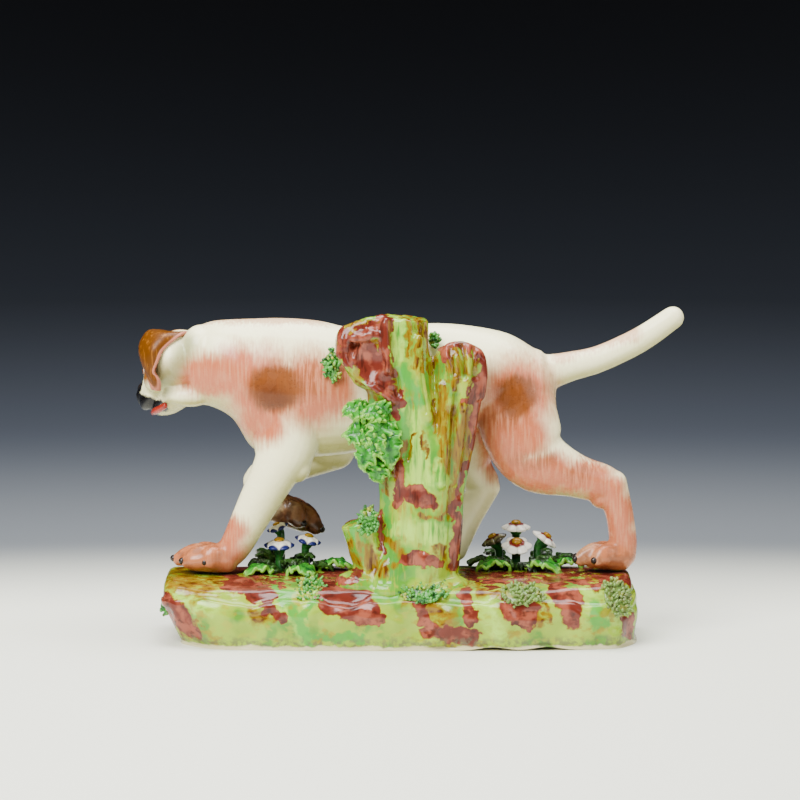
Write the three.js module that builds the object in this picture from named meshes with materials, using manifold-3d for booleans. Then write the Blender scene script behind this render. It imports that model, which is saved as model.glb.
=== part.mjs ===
// Dog figurine: a pointer stalking over a rockwork base, held up by a tree stump.
// Glazed porcelain, in millimetres, +Z up. The dog faces -X, and the side shown to the viewer faces -Y.
// The origin is on the rest plane, under the middle of the figure.
// Each piece is pressed or modelled by itself and luted to its neighbours with a thin layer of slip.

import * as THREE from 'three';
import { mergeVertices } from 'three/addons/utils/BufferGeometryUtils.js';
import Module from 'manifold-3d';

const wasm = await Module();
wasm.setup();

const SLIP = 0.3; // thickness of the slip between two luted pieces

// Rockwork base, pressed in a mould and open underneath.
const BASE_HEIGHT = 20;
const BASE_DEPTH = 57;
const BASE_WALL = 4.2;
const BASE_ROOF = 4.5;
const CUT_PAST = 1; // how far a cut runs past the face that it opens
const BASE_TOE_MARGIN = 4.8; // rock in front of the leading toes
const BASE_HEEL_MARGIN = 0.8; // rock behind the trailing heel
const BASE_SQUARENESS = 5; // exponent of the rounded rectangle that the base follows in plan
const BASE_CROWN = 3; // fall of the top from the middle to the long edges
const BASE_FOOT_INSET = 1.6; // how far the foot stands in under the bulge of the rock
const BASE_LEFT_UNDERCUT = 5.5; // the end under the leading paw leans in this much more
const ROCK_LUMP = 1.1; // height of the lumps on the sides
const ROCK_LUMPS = 9; // lumps round the sides
const ROCK_CORNERS = 48; // points round the base
// Side of the rock from the foot up, then the top, inwards. Side heights and undercuts are shares.
const ROCK_LEVELS = [
  { inset: BASE_FOOT_INSET, undercut: 1, side: 0 },
  { inset: BASE_FOOT_INSET / 3, undercut: 0.6, side: 0.35 },
  { inset: 0, undercut: 0.1, side: 0.75 },
  { inset: 0.8, undercut: 0, side: 0.93 },
  { inset: 3, undercut: 0, top: 0.985 },
  { inset: 7, undercut: 0, top: 1 },
  { inset: 17, undercut: 0, top: 1 },
];
const FOOT_ARCH = { height: 1.9, width: 15, places: [25, 41] }; // hollows that the edge stands on

// Dog. Heights are measured from the top of the rock, which the paws stand on.
const BODY_MIDLINE = 5; // the dog stands this far behind the middle of the base
const BODY = [
  { x: -66, height: 62.7, halfWidth: 7.4, halfHeight: 11.8, sway: 1.6 }, // neck, under the ears
  { x: -60.5, height: 63.4, halfWidth: 9.5, halfHeight: 13.2, sway: 0.4 },
  { x: -54, height: 61.8, halfWidth: 12.3, halfHeight: 15.2, sway: 0 }, // base of the neck
  { x: -48, height: 57.2, halfWidth: 13.5, halfHeight: 19.9, sway: 0 }, // breast
  { x: -39, height: 55.8, halfWidth: 14.3, halfHeight: 21.5, sway: 0 }, // shoulder
  { x: -28, height: 55.6, halfWidth: 14.3, halfHeight: 20.9, sway: 0 },
  { x: -18, height: 55.1, halfWidth: 14, halfHeight: 19.2, sway: 0 }, // behind the withers
  { x: -6, height: 56.6, halfWidth: 13.5, halfHeight: 18, sway: 0 },
  { x: 6, height: 58.5, halfWidth: 13, halfHeight: 17.3, sway: 0 }, // loin
  { x: 18, height: 59, halfWidth: 13, halfHeight: 15.9, sway: 0 },
  { x: 30, height: 57.3, halfWidth: 12.8, halfHeight: 15.3, sway: 0 }, // croup
  { x: 38, height: 55, halfWidth: 10.8, halfHeight: 13, sway: 0 },
];
const NECK_ROUND = 2; // bulge of the neck's end into the head
const RUMP_ROUND = 7; // how far the rump bulges past the last section

const HEAD_TURN = 57; // degrees that the head looks away from the viewer
const HEAD_DROP = 33; // degrees that the muzzle points down
const HEAD_SEAT = { x: -69.5, y: 5, height: 67.6 }; // the nape, where the head meets the neck
const HEAD = [
  { forward: 0, lift: -1, halfWidth: 8, halfHeight: 8.8 }, // nape
  { forward: 6, lift: -0.4, halfWidth: 8, halfHeight: 9.6 }, // skull
  { forward: 12.5, lift: -0.8, halfWidth: 7.4, halfHeight: 8.8 }, // brow
  { forward: 17.5, lift: -1.8, halfWidth: 5.7, halfHeight: 6.4 }, // stop
  { forward: 23, lift: -2.2, halfWidth: 4.5, halfHeight: 4.8 }, // muzzle
  { forward: 28, lift: -1.9, halfWidth: 3.9, halfHeight: 4.2 }, // nose
];
const NAPE_ROUND = 4;
const NOSE_ROUND = 1.8;
const JAW = [
  { forward: 8.5, lift: -9.8, halfWidth: 6, halfHeight: 4.6 }, // angle of the jaw
  { forward: 17, lift: -9.4, halfWidth: 4.6, halfHeight: 3.4 },
  { forward: 25, lift: -8.5, halfWidth: 3.2, halfHeight: 1.8 }, // chin
];
const JAW_ROUND = 2;
const CHIN_ROUND = 1.2;
const TONGUE_LENGTH = 9.5;
const TONGUE_WIDTH = 2.8;
const TONGUE_THICKNESS = 1.2;
const TONGUE_ROUND = 0.9;
const TONGUE_CROSSING = 1.2; // how far the tip lies nearer the middle than the root
const TONGUE_TAPER = 0.35; // share of the width lost at the tip
const TONGUE_ROOT = { forward: 16.5, aside: 4, lift: -8 };
const EAR_WIDTH = 11.4;
const EAR_THICKNESS = 2.6;
const EAR_ROUND = 1.2;
const EAR = [
  { forward: 3.2, aside: 4.6, lift: 7.6, width: 0.95 }, // root, on top of the skull
  { forward: 3.6, aside: 7.9, lift: 5, width: 1.06 },
  { forward: 4.4, aside: 9.7, lift: 0, width: 0.95 },
  { forward: 5.6, aside: 9.4, lift: -6, width: 0.66 },
  { forward: 6.6, aside: 8.8, lift: -9.6, width: 0.34 }, // tip
];

const TAIL = [
  { x: 36, height: 58.8, radius: 5.8 }, // root, inside the rump
  { x: 45.2, height: 61.2, radius: 5.1 },
  { x: 58.4, height: 65.1, radius: 4.1 },
  { x: 70.6, height: 70.9, radius: 3.9 },
  { x: 81.6, height: 78.2, radius: 3.5 }, // tip
];

// Legs. Each leg is a run of oval sections in the plane of the stride. aside is measured from the midline.
const NEAR_FORELEG = [
  { x: -35, aside: -6, height: 52, thick: 8, deep: 9.5 }, // shoulder, inside the body
  { x: -37.5, aside: -8, height: 39, thick: 7.5, deep: 9 },
  { x: -41, aside: -9, height: 31.5, thick: 6.6, deep: 7.2 }, // elbow
  { x: -46.6, aside: -9, height: 21, thick: 5.2, deep: 6 },
  { x: -50.3, aside: -8.5, height: 13.8, thick: 4.7, deep: 5.3 },
  { x: -53.8, aside: -8, height: 7.5, thick: 4.7, deep: 4.6 }, // wrist
  { x: -57.5, aside: -8, height: 4.2, thick: 5, deep: 4.2 },
];
const NEAR_FOREPAW = { x: -55, aside: -8, height: 4.3, length: 18.2, width: 12.5, thickness: 9, pitch: 0 };
const FAR_UPPER_ARM = [
  { x: -33, aside: 6, height: 48, thick: 8, deep: 9 }, // shoulder, inside the body
  { x: -25, aside: 8.5, height: 37.5, thick: 6.5, deep: 7.5 },
  { x: -21.5, aside: 9.5, height: 34.8, thick: 5.2, deep: 5.4 }, // elbow
];
const FAR_FOREARM = [
  { x: -22.5, aside: 9.5, height: 35, thick: 5.2, deep: 5.3 }, // elbow
  { x: -33, aside: 11, height: 31.4, thick: 4.8, deep: 5 },
  { x: -46.8, aside: 12, height: 26.6, thick: 4.2, deep: 4.6 }, // wrist, folded
];
const FAR_PASTERN = [
  { x: -47.4, aside: 12, height: 26, thick: 4.2, deep: 4.4 }, // wrist, folded
  { x: -44, aside: 11, height: 20.5, thick: 4.2, deep: 4.2 },
  { x: -39, aside: 10, height: 17, thick: 4.6, deep: 4.6 },
];
const FAR_FOREPAW = { x: -42, aside: 10, height: 18, length: 17.5, width: 11, thickness: 10, pitch: 24 };
const NEAR_THIGH = [
  { x: 31.5, aside: -4, height: 56, thick: 8, deep: 11.5 }, // hip, inside the body
  { x: 33.6, aside: -7, height: 45, thick: 7.8, deep: 12.2 },
  { x: 38.8, aside: -8, height: 34.6, thick: 7, deep: 11 }, // stifle
  { x: 49.8, aside: -7.5, height: 30.2, thick: 5.4, deep: 6.8 }, // shank
  { x: 59.3, aside: -6.5, height: 27.4, thick: 4.4, deep: 5.7 }, // hock
];
const NEAR_HIND_PASTERN = [
  { x: 61.6, aside: -6.5, height: 26.8, thick: 4.2, deep: 4.7 }, // hock
  { x: 64.3, aside: -6, height: 18, thick: 4, deep: 4.2 },
  { x: 65.5, aside: -5, height: 9.5, thick: 4.2, deep: 4.2 },
  { x: 65, aside: -5, height: 5, thick: 4.6, deep: 4.5 }, // heel
];
const NEAR_HIND_PAW = { x: 66, aside: -5, height: 4.4, length: 16, width: 11, thickness: 8.4, pitch: 0 };
const FAR_THIGH = [
  { x: 30, aside: 3, height: 54, thick: 8, deep: 11 }, // hip, inside the body
  { x: 20, aside: 7, height: 42, thick: 7, deep: 10 }, // stifle
  { x: 19, aside: 9, height: 31.5, thick: 5.4, deep: 6.8 }, // shank
  { x: 23, aside: 9.5, height: 25.2, thick: 4.4, deep: 5 }, // hock
];
const FAR_HIND_PASTERN = [
  { x: 23.6, aside: 9.5, height: 24.6, thick: 4.2, deep: 4.6 }, // hock
  { x: 18, aside: 9.5, height: 14, thick: 4, deep: 4.3 },
  { x: 13.5, aside: 9.5, height: 4.6, thick: 4.5, deep: 4.5 }, // heel
];
const FAR_HIND_PAW = { x: 14, aside: 9.5, height: 4.2, length: 16, width: 11, thickness: 8.2, pitch: 0 };
const HEEL_ROUND = 2; // bulge of a leg's end into its paw
const TOES = 4;
const OUTER_TOE_REACH = 0.82; // reach of an outer toe, as a share of the inner ones'
// Palm and toe from the heel forwards, as shares of the paw's sizes. A toe's width is a share of its radius.
const PALM = [
  { ahead: 0, up: 0, wide: 0.36, deep: 0.46 },
  { ahead: 0.3, up: 0.02, wide: 0.45, deep: 0.48 },
  { ahead: 0.62, up: -0.04, wide: 0.4, deep: 0.36 },
];
const PALM_ROUND = 0.3; // bulge of the palm's ends, as a share of the thickness
const TOE = [
  { ahead: 0.5, up: 0.06, spread: 0.8, wide: 1.05, deep: 0.32 },
  { ahead: 0.8, up: 0, spread: 1, wide: 1.12, deep: 0.34 },
  { ahead: 1, up: -0.12, spread: 1, wide: 1, deep: 0.24 }, // nail
];
const TOE_PITCH = 0.25; // from toe to toe, as a share of the width
const TOE_RADIUS = 0.143; // share of the width

// Tree stump that holds the body up, with its cut boughs. back is measured from the middle of the wood.
const STUMP_SETBACK = 15; // from the front edge of the rock to the middle of the wood
const WOOD_MIDDLE = STUMP_SETBACK - BASE_DEPTH / 2;
const STUMP = [
  { x: -0.5, back: 2, height: -3, halfWidth: 18, halfDepth: 12 }, // foot, in the rock
  { x: -0.3, back: 1.5, height: 2, halfWidth: 15.4, halfDepth: 11.2 },
  { x: 2.2, back: 0.5, height: 8, halfWidth: 13, halfDepth: 9.8 },
  { x: 3.6, back: 0, height: 22, halfWidth: 12.6, halfDepth: 9.2 },
  { x: 3.6, back: 0, height: 38, halfWidth: 13.4, halfDepth: 9 },
  { x: 0, back: 0, height: 52, halfWidth: 12.6, halfDepth: 9 }, // fork
  { x: -3, back: -0.5, height: 66, halfWidth: 9.6, halfDepth: 8.5 },
  { x: -2.3, back: -0.5, height: 80.5, halfWidth: 8, halfDepth: 7.6 }, // cut top
];
const BARK_RIDGE = 0.05; // share of the radius
const BARK_RIDGES = 7;
const BARK_TWIST = 1.2; // radians from foot to top
const BOUGH = [
  { x: 8.6, back: -0.5, height: 30, halfWidth: 8.4, halfDepth: 7.6 }, // fork
  { x: 11.4, back: -0.8, height: 46, halfWidth: 8.6, halfDepth: 7.6 },
  { x: 13.6, back: -1.1, height: 57, halfWidth: 8.3, halfDepth: 7.6 },
  { x: 15, back: -1.5, height: 65, halfWidth: 8.2, halfDepth: 7.8 },
  { x: 15.2, back: -1.5, height: 69.5, halfWidth: 7.2, halfDepth: 7 }, // knuckled end
];
const BOUGH_ROUND = 3;
const KNOT = [
  { x: -5, back: -0.5, height: 64, halfWidth: 10, halfDepth: 9 }, // inside the stump
  { x: -13, back: -1.5, height: 68.5, halfWidth: 10, halfDepth: 9 },
  { x: -18, back: -2.5, height: 70.8, halfWidth: 8.2, halfDepth: 7.6 }, // rim
];
const KNOT_ROUND = 1.6;
const KNOT_DISH = { radius: 6, depth: 2 };
const BRANCH_STUB = [
  { x: -7, back: 0.5, height: -2, halfWidth: 6.6, halfDepth: 6.4 }, // inside the foot of the stump
  { x: -11.8, back: -0.5, height: 8, halfWidth: 6, halfDepth: 6 },
  { x: -15.2, back: -1, height: 18, halfWidth: 5.7, halfDepth: 5.8 }, // slanting cut
];

// Applied leaves, moss and flowers. Bearings are degrees in plan: -90 faces the viewer, 180 faces left.
const LEAF_THICKNESS = 1.5;
const LEAF_CURL = 0.26; // rise of the middle of a leaf, as a share of its length
// Lobed blade from root to tip: share of the length, and width as a share of the leaf's width.
const LEAF_OUTLINE = [
  { along: -0.08, wide: 0.3 },
  { along: 0.1, wide: 0.8 },
  { along: 0.24, wide: 0.64 },
  { along: 0.4, wide: 1 },
  { along: 0.55, wide: 0.74 },
  { along: 0.7, wide: 0.86 },
  { along: 0.88, wide: 0.44 },
  { along: 1, wide: 0.16 },
];
const STUMP_LEAVES = [
  { height: 55, bearing: 208, lean: -14, length: 12, width: 8 },
  { height: 53.5, bearing: 252, lean: 12, length: 12, width: 9 },
  { height: 47, bearing: 212, lean: -30, length: 13, width: 9 },
  { height: 48, bearing: 262, lean: -66, length: 15, width: 11 },
  { height: 44, bearing: 238, lean: -42, length: 13, width: 9 },
  { height: 38.5, bearing: 240, lean: -54, length: 11, width: 9 },
];
const MOSS_STRAND = 1.8; // thickness of a strand at its foot
const MOSS_PITCH = 4.4; // from strand to strand
const MOSS_PROUD = 2.6; // how far the strands stand out
const MOSS_PAD = 1.6; // thickness of the pad above its middle
const MOSS_FIELD = 0.7; // part of the pad that carries strands
const MOSS_LEAN = 0.3; // radians that the strands lean to either side
const MOSS_STAGGER = 0.3; // shift of every other row, in strands
const PETAL_THICKNESS = 1;
const PETALS = 6;
const PETAL_NOTCH = 0.22; // depth of the notch between two petals, as a share of the radius
const PETAL_UNDERSIDE = 0.97; // width of the underside, as a share of the top's
// Top of the petals from the heart to the points, which fall like an umbrella. Shares of the radius.
const PETAL_LINE = [
  { out: 0, fall: 0 },
  { out: 0.5, fall: 0.13 },
  { out: 1, fall: 0.42 },
];
const HEART_RADIUS = 0.28; // share of the blossom's radius
const HEART_RISE = 0.06; // share of the radius
// Green cup under the petals: radius and drop below them, as shares of the blossom's radius.
const CALYX = [
  { wide: 0.08, drop: 0 },
  { wide: 0.5, drop: 0.14 },
  { wide: 0.4, drop: 0.65 },
];
const STEM_TOP = 1.3; // drop from the heart to the bare stem, as a share of the radius
const STEM_RADIUS = 1.2;
const STEM_FLARE = 1.2; // foot of the stem, as a share of its radius
const STEM_ROOT = 1; // how far the stem reaches into the slip
const LEFT_BLOSSOMS = [
  { x: -41, y: 6, height: 13.4, radius: 3.4, tilt: 22, bearing: 200 },
  { x: -40, y: 0.5, height: 9.2, radius: 4.7, tilt: 8, bearing: 270 },
  { x: -31, y: 4, height: 10, radius: 4.1, tilt: 16, bearing: 330 },
];
const RIGHT_BLOSSOMS = [
  { x: 33.2, y: 15.5, height: 12.4, radius: 4.5, tilt: 6, bearing: 270 },
  { x: 33.2, y: 7.5, height: 7.8, radius: 4.7, tilt: 26, bearing: 270 },
  { x: 25.8, y: 13, height: 8.6, radius: 4.2, tilt: 26, bearing: 190 },
  { x: 42.6, y: 11.5, height: 9, radius: 4.4, tilt: 36, bearing: 0 },
];
const LEAF_CLEARANCE = 0.6; // from the rock to the root of a leaf
const GROUND_LEAF_RISE = 0.12; // slope of a leaf on the ground
const STUMP_LEAF_SPREAD = 0.3; // how much a leaf on the bark points out of it
const GROUND_LEAVES = [
  { name: 'left_leaf_1', x: -42, y: -2, bearing: 205, length: 10, width: 8 },
  { name: 'left_leaf_2', x: -36.5, y: -3, bearing: 325, length: 10, width: 8 },
  { name: 'left_leaf_3', x: -28, y: 4.5, bearing: 350, length: 12, width: 9 },
  { name: 'right_leaf_1', x: 31, y: 5, bearing: 200, length: 12, width: 9 },
  { name: 'right_leaf_2', x: 37, y: 4, bearing: 325, length: 13, width: 9 },
  { name: 'right_leaf_3', x: 44, y: 10, bearing: 5, length: 11, width: 8 },
];

const MOSS = [
  { name: 'flank_moss', x: -23.4, y: -8.6, height: 64.5, facing: [-0.2, -1, 0], long: 4.5, tall: 9.5 },
  { name: 'fork_moss', x: 8.2, y: -3.6, height: 72, facing: [0, -0.6, 0.8], long: 4, tall: 5 },
  { name: 'stub_moss', x: -12.2, y: WOOD_MIDDLE - 6.3, height: 18.5, facing: [-0.3, -1, 0.2], long: 5, tall: 8 },
];
// Sprigs on the rock: their distance from its edges, and their drop below its top.
const ROCK_MOSS = [
  { name: 'front_left_moss', x: -30, fromFront: 11.5, drop: 0, facing: [0, -0.3, 1], long: 8, tall: 9 },
  { name: 'front_middle_moss', x: 2.5, fromFront: 3.5, drop: 0.3, facing: [0, -0.8, 1], long: 15, tall: 8 },
  { name: 'front_right_moss', x: 33.7, fromFront: 2.9, drop: 0.9, facing: [0, -0.9, 0.9], long: 12, tall: 8 },
  { name: 'heel_end_moss', fromHeel: 7.8, fromFront: 6, drop: 3, facing: [0.7, -0.9, 0.7], long: 10, tall: 10 },
  { name: 'toe_end_moss', fromToe: 2, fromFront: 15.5, drop: 7.4, facing: [-1, -0.2, 0], long: 5, tall: 5 },
];

// Colours of the glazes.
const PORCELAIN = 0xf1efe4;
const SALMON = 0xd9a78f;
const PAW_BROWN = 0xc98f70;
const EAR_BROWN = 0xa8641f;
const TONGUE_RED = 0xc4503a;
const APPLE_GREEN = 0xa6c973;
const IRON_RED = 0x9c463b;
const LEAF_GREEN = 0x5fa765;
const MOSS_GREEN = 0x86bf87;
const PETAL_WHITE = 0xe9e6da;

const ACROSS = new THREE.Vector3(0, 1, 0); // across the dog
const ALONG = new THREE.Vector3(1, 0, 0);
const UP = new THREE.Vector3(0, 0, 1);

// A solid from a closed geometry.
function solid(geometry) {
  geometry.deleteAttribute('normal');
  geometry.deleteAttribute('uv');
  const merged = mergeVertices(geometry, 1e-5);
  return new wasm.Manifold(
    new wasm.Mesh({
      numProp: 3,
      vertProperties: new Float32Array(merged.attributes.position.array),
      triVerts: new Uint32Array(merged.index.array),
    }),
  );
}

// A named mesh from a solid.
function piece(name, body, color, roughness = 0.18) {
  const mesh = body.getMesh();
  const geometry = new THREE.BufferGeometry();
  geometry.setAttribute('position', new THREE.BufferAttribute(new Float32Array(mesh.vertProperties), 3));
  geometry.setIndex(new THREE.BufferAttribute(new Uint32Array(mesh.triVerts), 1));
  geometry.computeVertexNormals();
  const made = new THREE.Mesh(geometry, new THREE.MeshStandardMaterial({ color, roughness, metalness: 0 }));
  made.name = name;
  return made;
}

function join(solids) {
  return solids.reduce((whole, next) => whole.add(next));
}

// The solid, cut back where its neighbours and the slip on them come.
function seat(body, ...neighbours) {
  return neighbours.reduce((left, neighbour) => left.subtract(neighbour(SLIP)), body);
}

// Closed skin over rings of points: each ring runs anticlockwise about the direction of the run.
function skin(rings, first, last) {
  const positions = [first, ...rings.flat(), last].flatMap((point) => point.toArray());
  const sides = rings[0].length;
  const end = rings.length * sides + 1;
  const faces = [];
  const place = (ring, side) => 1 + ring * sides + (side % sides);
  for (let side = 0; side < sides; side += 1) {
    faces.push(0, place(0, side + 1), place(0, side));
    faces.push(end, place(rings.length - 1, side), place(rings.length - 1, side + 1));
  }
  for (let ring = 0; ring < rings.length - 1; ring += 1) {
    for (let side = 0; side < sides; side += 1) {
      faces.push(place(ring, side), place(ring, side + 1), place(ring + 1, side));
      faces.push(place(ring, side + 1), place(ring + 1, side + 1), place(ring + 1, side));
    }
  }
  const geometry = new THREE.BufferGeometry();
  geometry.setAttribute('position', new THREE.Float32BufferAttribute(positions, 3));
  geometry.setIndex(faces);
  return geometry;
}

// Smooth form through oval sections { at, wide, deep }: wide lies along the direction given as across.
// The sections stand square to the run, or to the direction given as facing.
// The ends are flat, or round where a bulge past the end section is given.
function loft(
  { sections, across, facing, sides = 10, steps = 2, startRound = 0, endRound = 0, ripple = () => 1 },
  grow = 0,
) {
  const path = new THREE.CatmullRomCurve3(sections.map((section) => section.at));
  const sizes = new THREE.SplineCurve(sections.map(({ wide, deep }) => new THREE.Vector2(wide, deep)));
  const rings = [];
  const heading = (run) => facing ?? path.getTangent(run);
  const ring = (run, share, shift) => {
    const tangent = heading(run);
    const side = across.clone().addScaledVector(tangent, -across.dot(tangent)).normalize();
    const rise = tangent.clone().cross(side);
    const size = sizes.getPoint(run).addScalar(grow).multiplyScalar(share);
    const centre = path.getPoint(run).addScaledVector(tangent, shift);
    const points = [];
    for (let corner = 0; corner < sides; corner += 1) {
      const angle = (2 * Math.PI * corner) / sides;
      const swell = ripple(angle, run);
      points.push(
        centre
          .clone()
          .addScaledVector(side, size.x * swell * Math.cos(angle))
          .addScaledVector(rise, size.y * swell * Math.sin(angle)),
      );
    }
    return points;
  };
  const ends = [0.5, 0.87]; // places on the quarter round of an end
  for (const place of startRound ? [...ends].reverse() : []) {
    rings.push(ring(0, Math.sqrt(1 - place * place), -place * (startRound + grow)));
  }
  const count = (sections.length - 1) * steps;
  for (let step = 0; step <= count; step += 1) {
    rings.push(ring(step / count, 1, 0));
  }
  for (const place of endRound ? ends : []) {
    rings.push(ring(1, Math.sqrt(1 - place * place), place * (endRound + grow)));
  }
  const first = path.getPoint(0).addScaledVector(heading(0), -startRound - grow);
  const last = path.getPoint(1).addScaledVector(heading(1), endRound + grow);
  if (!startRound) {
    rings[0].forEach((point) => point.addScaledVector(heading(0), -grow));
  }
  if (!endRound) {
    rings[rings.length - 1].forEach((point) => point.addScaledVector(heading(1), grow));
  }
  return solid(skin(rings, first, last));
}

// Rockwork base: its plan, its top and its solid.
const baseStart = NEAR_FOREPAW.x - NEAR_FOREPAW.length - BASE_TOE_MARGIN;
const baseEnd = NEAR_HIND_PASTERN.at(-1).x + NEAR_HIND_PASTERN.at(-1).deep + BASE_HEEL_MARGIN;
const baseMiddle = (baseStart + baseEnd) / 2;
const baseLength = baseEnd - baseStart;

function rockTop(x, y) {
  const across = y / (BASE_DEPTH / 2);
  return BASE_HEIGHT - BASE_CROWN * across * across;
}

function rockPlan(angle, inset) {
  const bend = (value) => Math.sign(value) * Math.abs(value) ** (2 / BASE_SQUARENESS);
  const lump = (ROCK_LUMP * (1 - Math.cos(ROCK_LUMPS * angle))) / 2;
  return {
    x: baseMiddle + (baseLength / 2 - inset - lump) * bend(Math.cos(angle)),
    y: (BASE_DEPTH / 2 - inset - lump) * bend(Math.sin(angle)),
  };
}

function rock(grow = 0) {
  const shoulder = BASE_HEIGHT - BASE_CROWN;
  const rings = ROCK_LEVELS.map((level) => {
    const points = [];
    for (let corner = 0; corner < ROCK_CORNERS; corner += 1) {
      const angle = (2 * Math.PI * corner) / ROCK_CORNERS;
      const leftness = Math.max(0, -Math.cos(angle)) ** 3;
      const inset = level.inset + BASE_LEFT_UNDERCUT * leftness * level.undercut - grow;
      const { x, y } = rockPlan(angle, inset);
      const height = level.top ? level.top * rockTop(x, y) : level.side * shoulder;
      points.push(new THREE.Vector3(x, y, level.side === 0 ? 0 : height + grow));
    }
    return points;
  });
  const underside = new THREE.Vector3(baseMiddle, 0, 0);
  const summit = new THREE.Vector3(baseMiddle, 0, BASE_HEIGHT + grow);
  return solid(skin(rings, underside, summit));
}

// The hollow under the base: a straight-sided pocket with round corners.
function pocket() {
  const wall = BASE_WALL + BASE_FOOT_INSET + ROCK_LUMP;
  const left = baseStart + wall + BASE_LEFT_UNDERCUT;
  const right = baseEnd - wall;
  const half = BASE_DEPTH / 2 - wall;
  const corner = BASE_WALL;
  const outline = new THREE.Shape();
  outline.absarc(right - corner, half - corner, corner, 0, Math.PI / 2);
  outline.absarc(left + corner, half - corner, corner, Math.PI / 2, Math.PI);
  outline.absarc(left + corner, corner - half, corner, Math.PI, Math.PI * 1.5);
  outline.absarc(right - corner, corner - half, corner, Math.PI * 1.5, Math.PI * 2);
  const depth = BASE_HEIGHT - BASE_CROWN - BASE_ROOF;
  const settings = { depth: depth + CUT_PAST, bevelEnabled: false, curveSegments: 4 };
  const geometry = new THREE.ExtrudeGeometry(outline, settings);
  geometry.translate(0, 0, -CUT_PAST);
  return solid(geometry);
}

// One shallow arch through the front wall, which leaves the foot standing on either side of it.
function footArch(x) {
  const half = FOOT_ARCH.width / 2;
  const outline = new THREE.Shape();
  outline.moveTo(-half, -CUT_PAST);
  outline.lineTo(half, -CUT_PAST);
  outline.lineTo(half, 0);
  outline.quadraticCurveTo(half / 2, FOOT_ARCH.height, 0, FOOT_ARCH.height);
  outline.quadraticCurveTo(-half / 2, FOOT_ARCH.height, -half, 0);
  const through = BASE_WALL + BASE_FOOT_INSET + ROCK_LUMP + 2 * CUT_PAST;
  const settings = { depth: through, bevelEnabled: false, curveSegments: 4 };
  const geometry = new THREE.ExtrudeGeometry(outline, settings);
  geometry.rotateX(Math.PI / 2);
  geometry.translate(x, -BASE_DEPTH / 2 + through - CUT_PAST, 0);
  return solid(geometry);
}

function baseSolid() {
  return rock().subtract(join([pocket(), ...FOOT_ARCH.places.map(footArch)]));
}

// Dog's body and neck, one pressed shell.
function body(grow = 0) {
  const sections = BODY.map((station) => ({
    at: new THREE.Vector3(station.x, BODY_MIDLINE + station.sway, BASE_HEIGHT + station.height),
    wide: station.halfWidth,
    deep: station.halfHeight,
  }));
  return loft({ sections, across: ACROSS, facing: ALONG, sides: 18, startRound: NECK_ROUND, endRound: RUMP_ROUND }, grow);
}

// Head: a frame turned away at the nape, with forward along the muzzle, aside to the dog's left, and up.
const headForward = new THREE.Vector3(-1, 0, 0)
  .applyAxisAngle(ACROSS, THREE.MathUtils.degToRad(-HEAD_DROP))
  .applyAxisAngle(UP, THREE.MathUtils.degToRad(-HEAD_TURN));
const headAside = UP.clone().cross(headForward).normalize();
const headUp = headForward.clone().cross(headAside);
const nape = new THREE.Vector3(HEAD_SEAT.x, HEAD_SEAT.y, BASE_HEIGHT + HEAD_SEAT.height);

function onHead(forward, aside, lift) {
  return nape
    .clone()
    .addScaledVector(headForward, forward)
    .addScaledVector(headAside, aside)
    .addScaledVector(headUp, lift);
}

function headSections(stations) {
  return stations.map((station) => ({
    at: onHead(station.forward, 0, station.lift),
    wide: station.halfWidth,
    deep: station.halfHeight,
  }));
}

function head(grow = 0) {
  const sections = headSections(HEAD);
  return loft({ sections, across: headAside, sides: 14, startRound: NAPE_ROUND, endRound: NOSE_ROUND }, grow);
}

function lowerJaw(grow = 0) {
  const sections = headSections(JAW);
  return loft({ sections, across: headAside, steps: 1, startRound: JAW_ROUND, endRound: CHIN_ROUND }, grow);
}

// The tongue hangs over the lower lip on the side of the viewer.
function tongue() {
  const { forward, aside, lift } = TONGUE_ROOT;
  const sections = [0, 0.5, 1].map((share) => ({
    at: onHead(forward + TONGUE_LENGTH * share, aside - TONGUE_CROSSING * share, lift),
    wide: TONGUE_THICKNESS / 2,
    deep: (TONGUE_WIDTH / 2) * (1 - TONGUE_TAPER * share),
  }));
  return loft({ sections, across: headAside, sides: 8, steps: 1, startRound: TONGUE_ROUND, endRound: TONGUE_ROUND });
}

// One ear: a flap rooted on the side of the skull, falling over the cheek. side is 1 for the viewer's side.
function ear(side) {
  const sections = EAR.map(({ forward, aside, lift, width }) => ({
    at: onHead(forward, side * aside, lift),
    wide: (EAR_WIDTH / 2) * width,
    deep: EAR_THICKNESS / 2,
  }));
  return loft({ sections, across: headForward, sides: 8, steps: 1, startRound: EAR_ROUND, endRound: EAR_ROUND });
}

function tail() {
  const sections = TAIL.map((station) => ({
    at: new THREE.Vector3(station.x, BODY_MIDLINE, BASE_HEIGHT + station.height),
    wide: station.radius,
    deep: station.radius,
  }));
  return loft({ sections, across: ACROSS, sides: 10, endRound: TAIL.at(-1).radius });
}

// One length of a leg.
function limb(stations, grow = 0, endRound = stations.at(-1).deep) {
  const sections = stations.map((station) => ({
    at: new THREE.Vector3(station.x, BODY_MIDLINE + station.aside, BASE_HEIGHT + station.height),
    wide: station.thick,
    deep: station.deep,
  }));
  return loft({ sections, across: ACROSS, startRound: stations[0].deep / 2, endRound }, grow);
}

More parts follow.
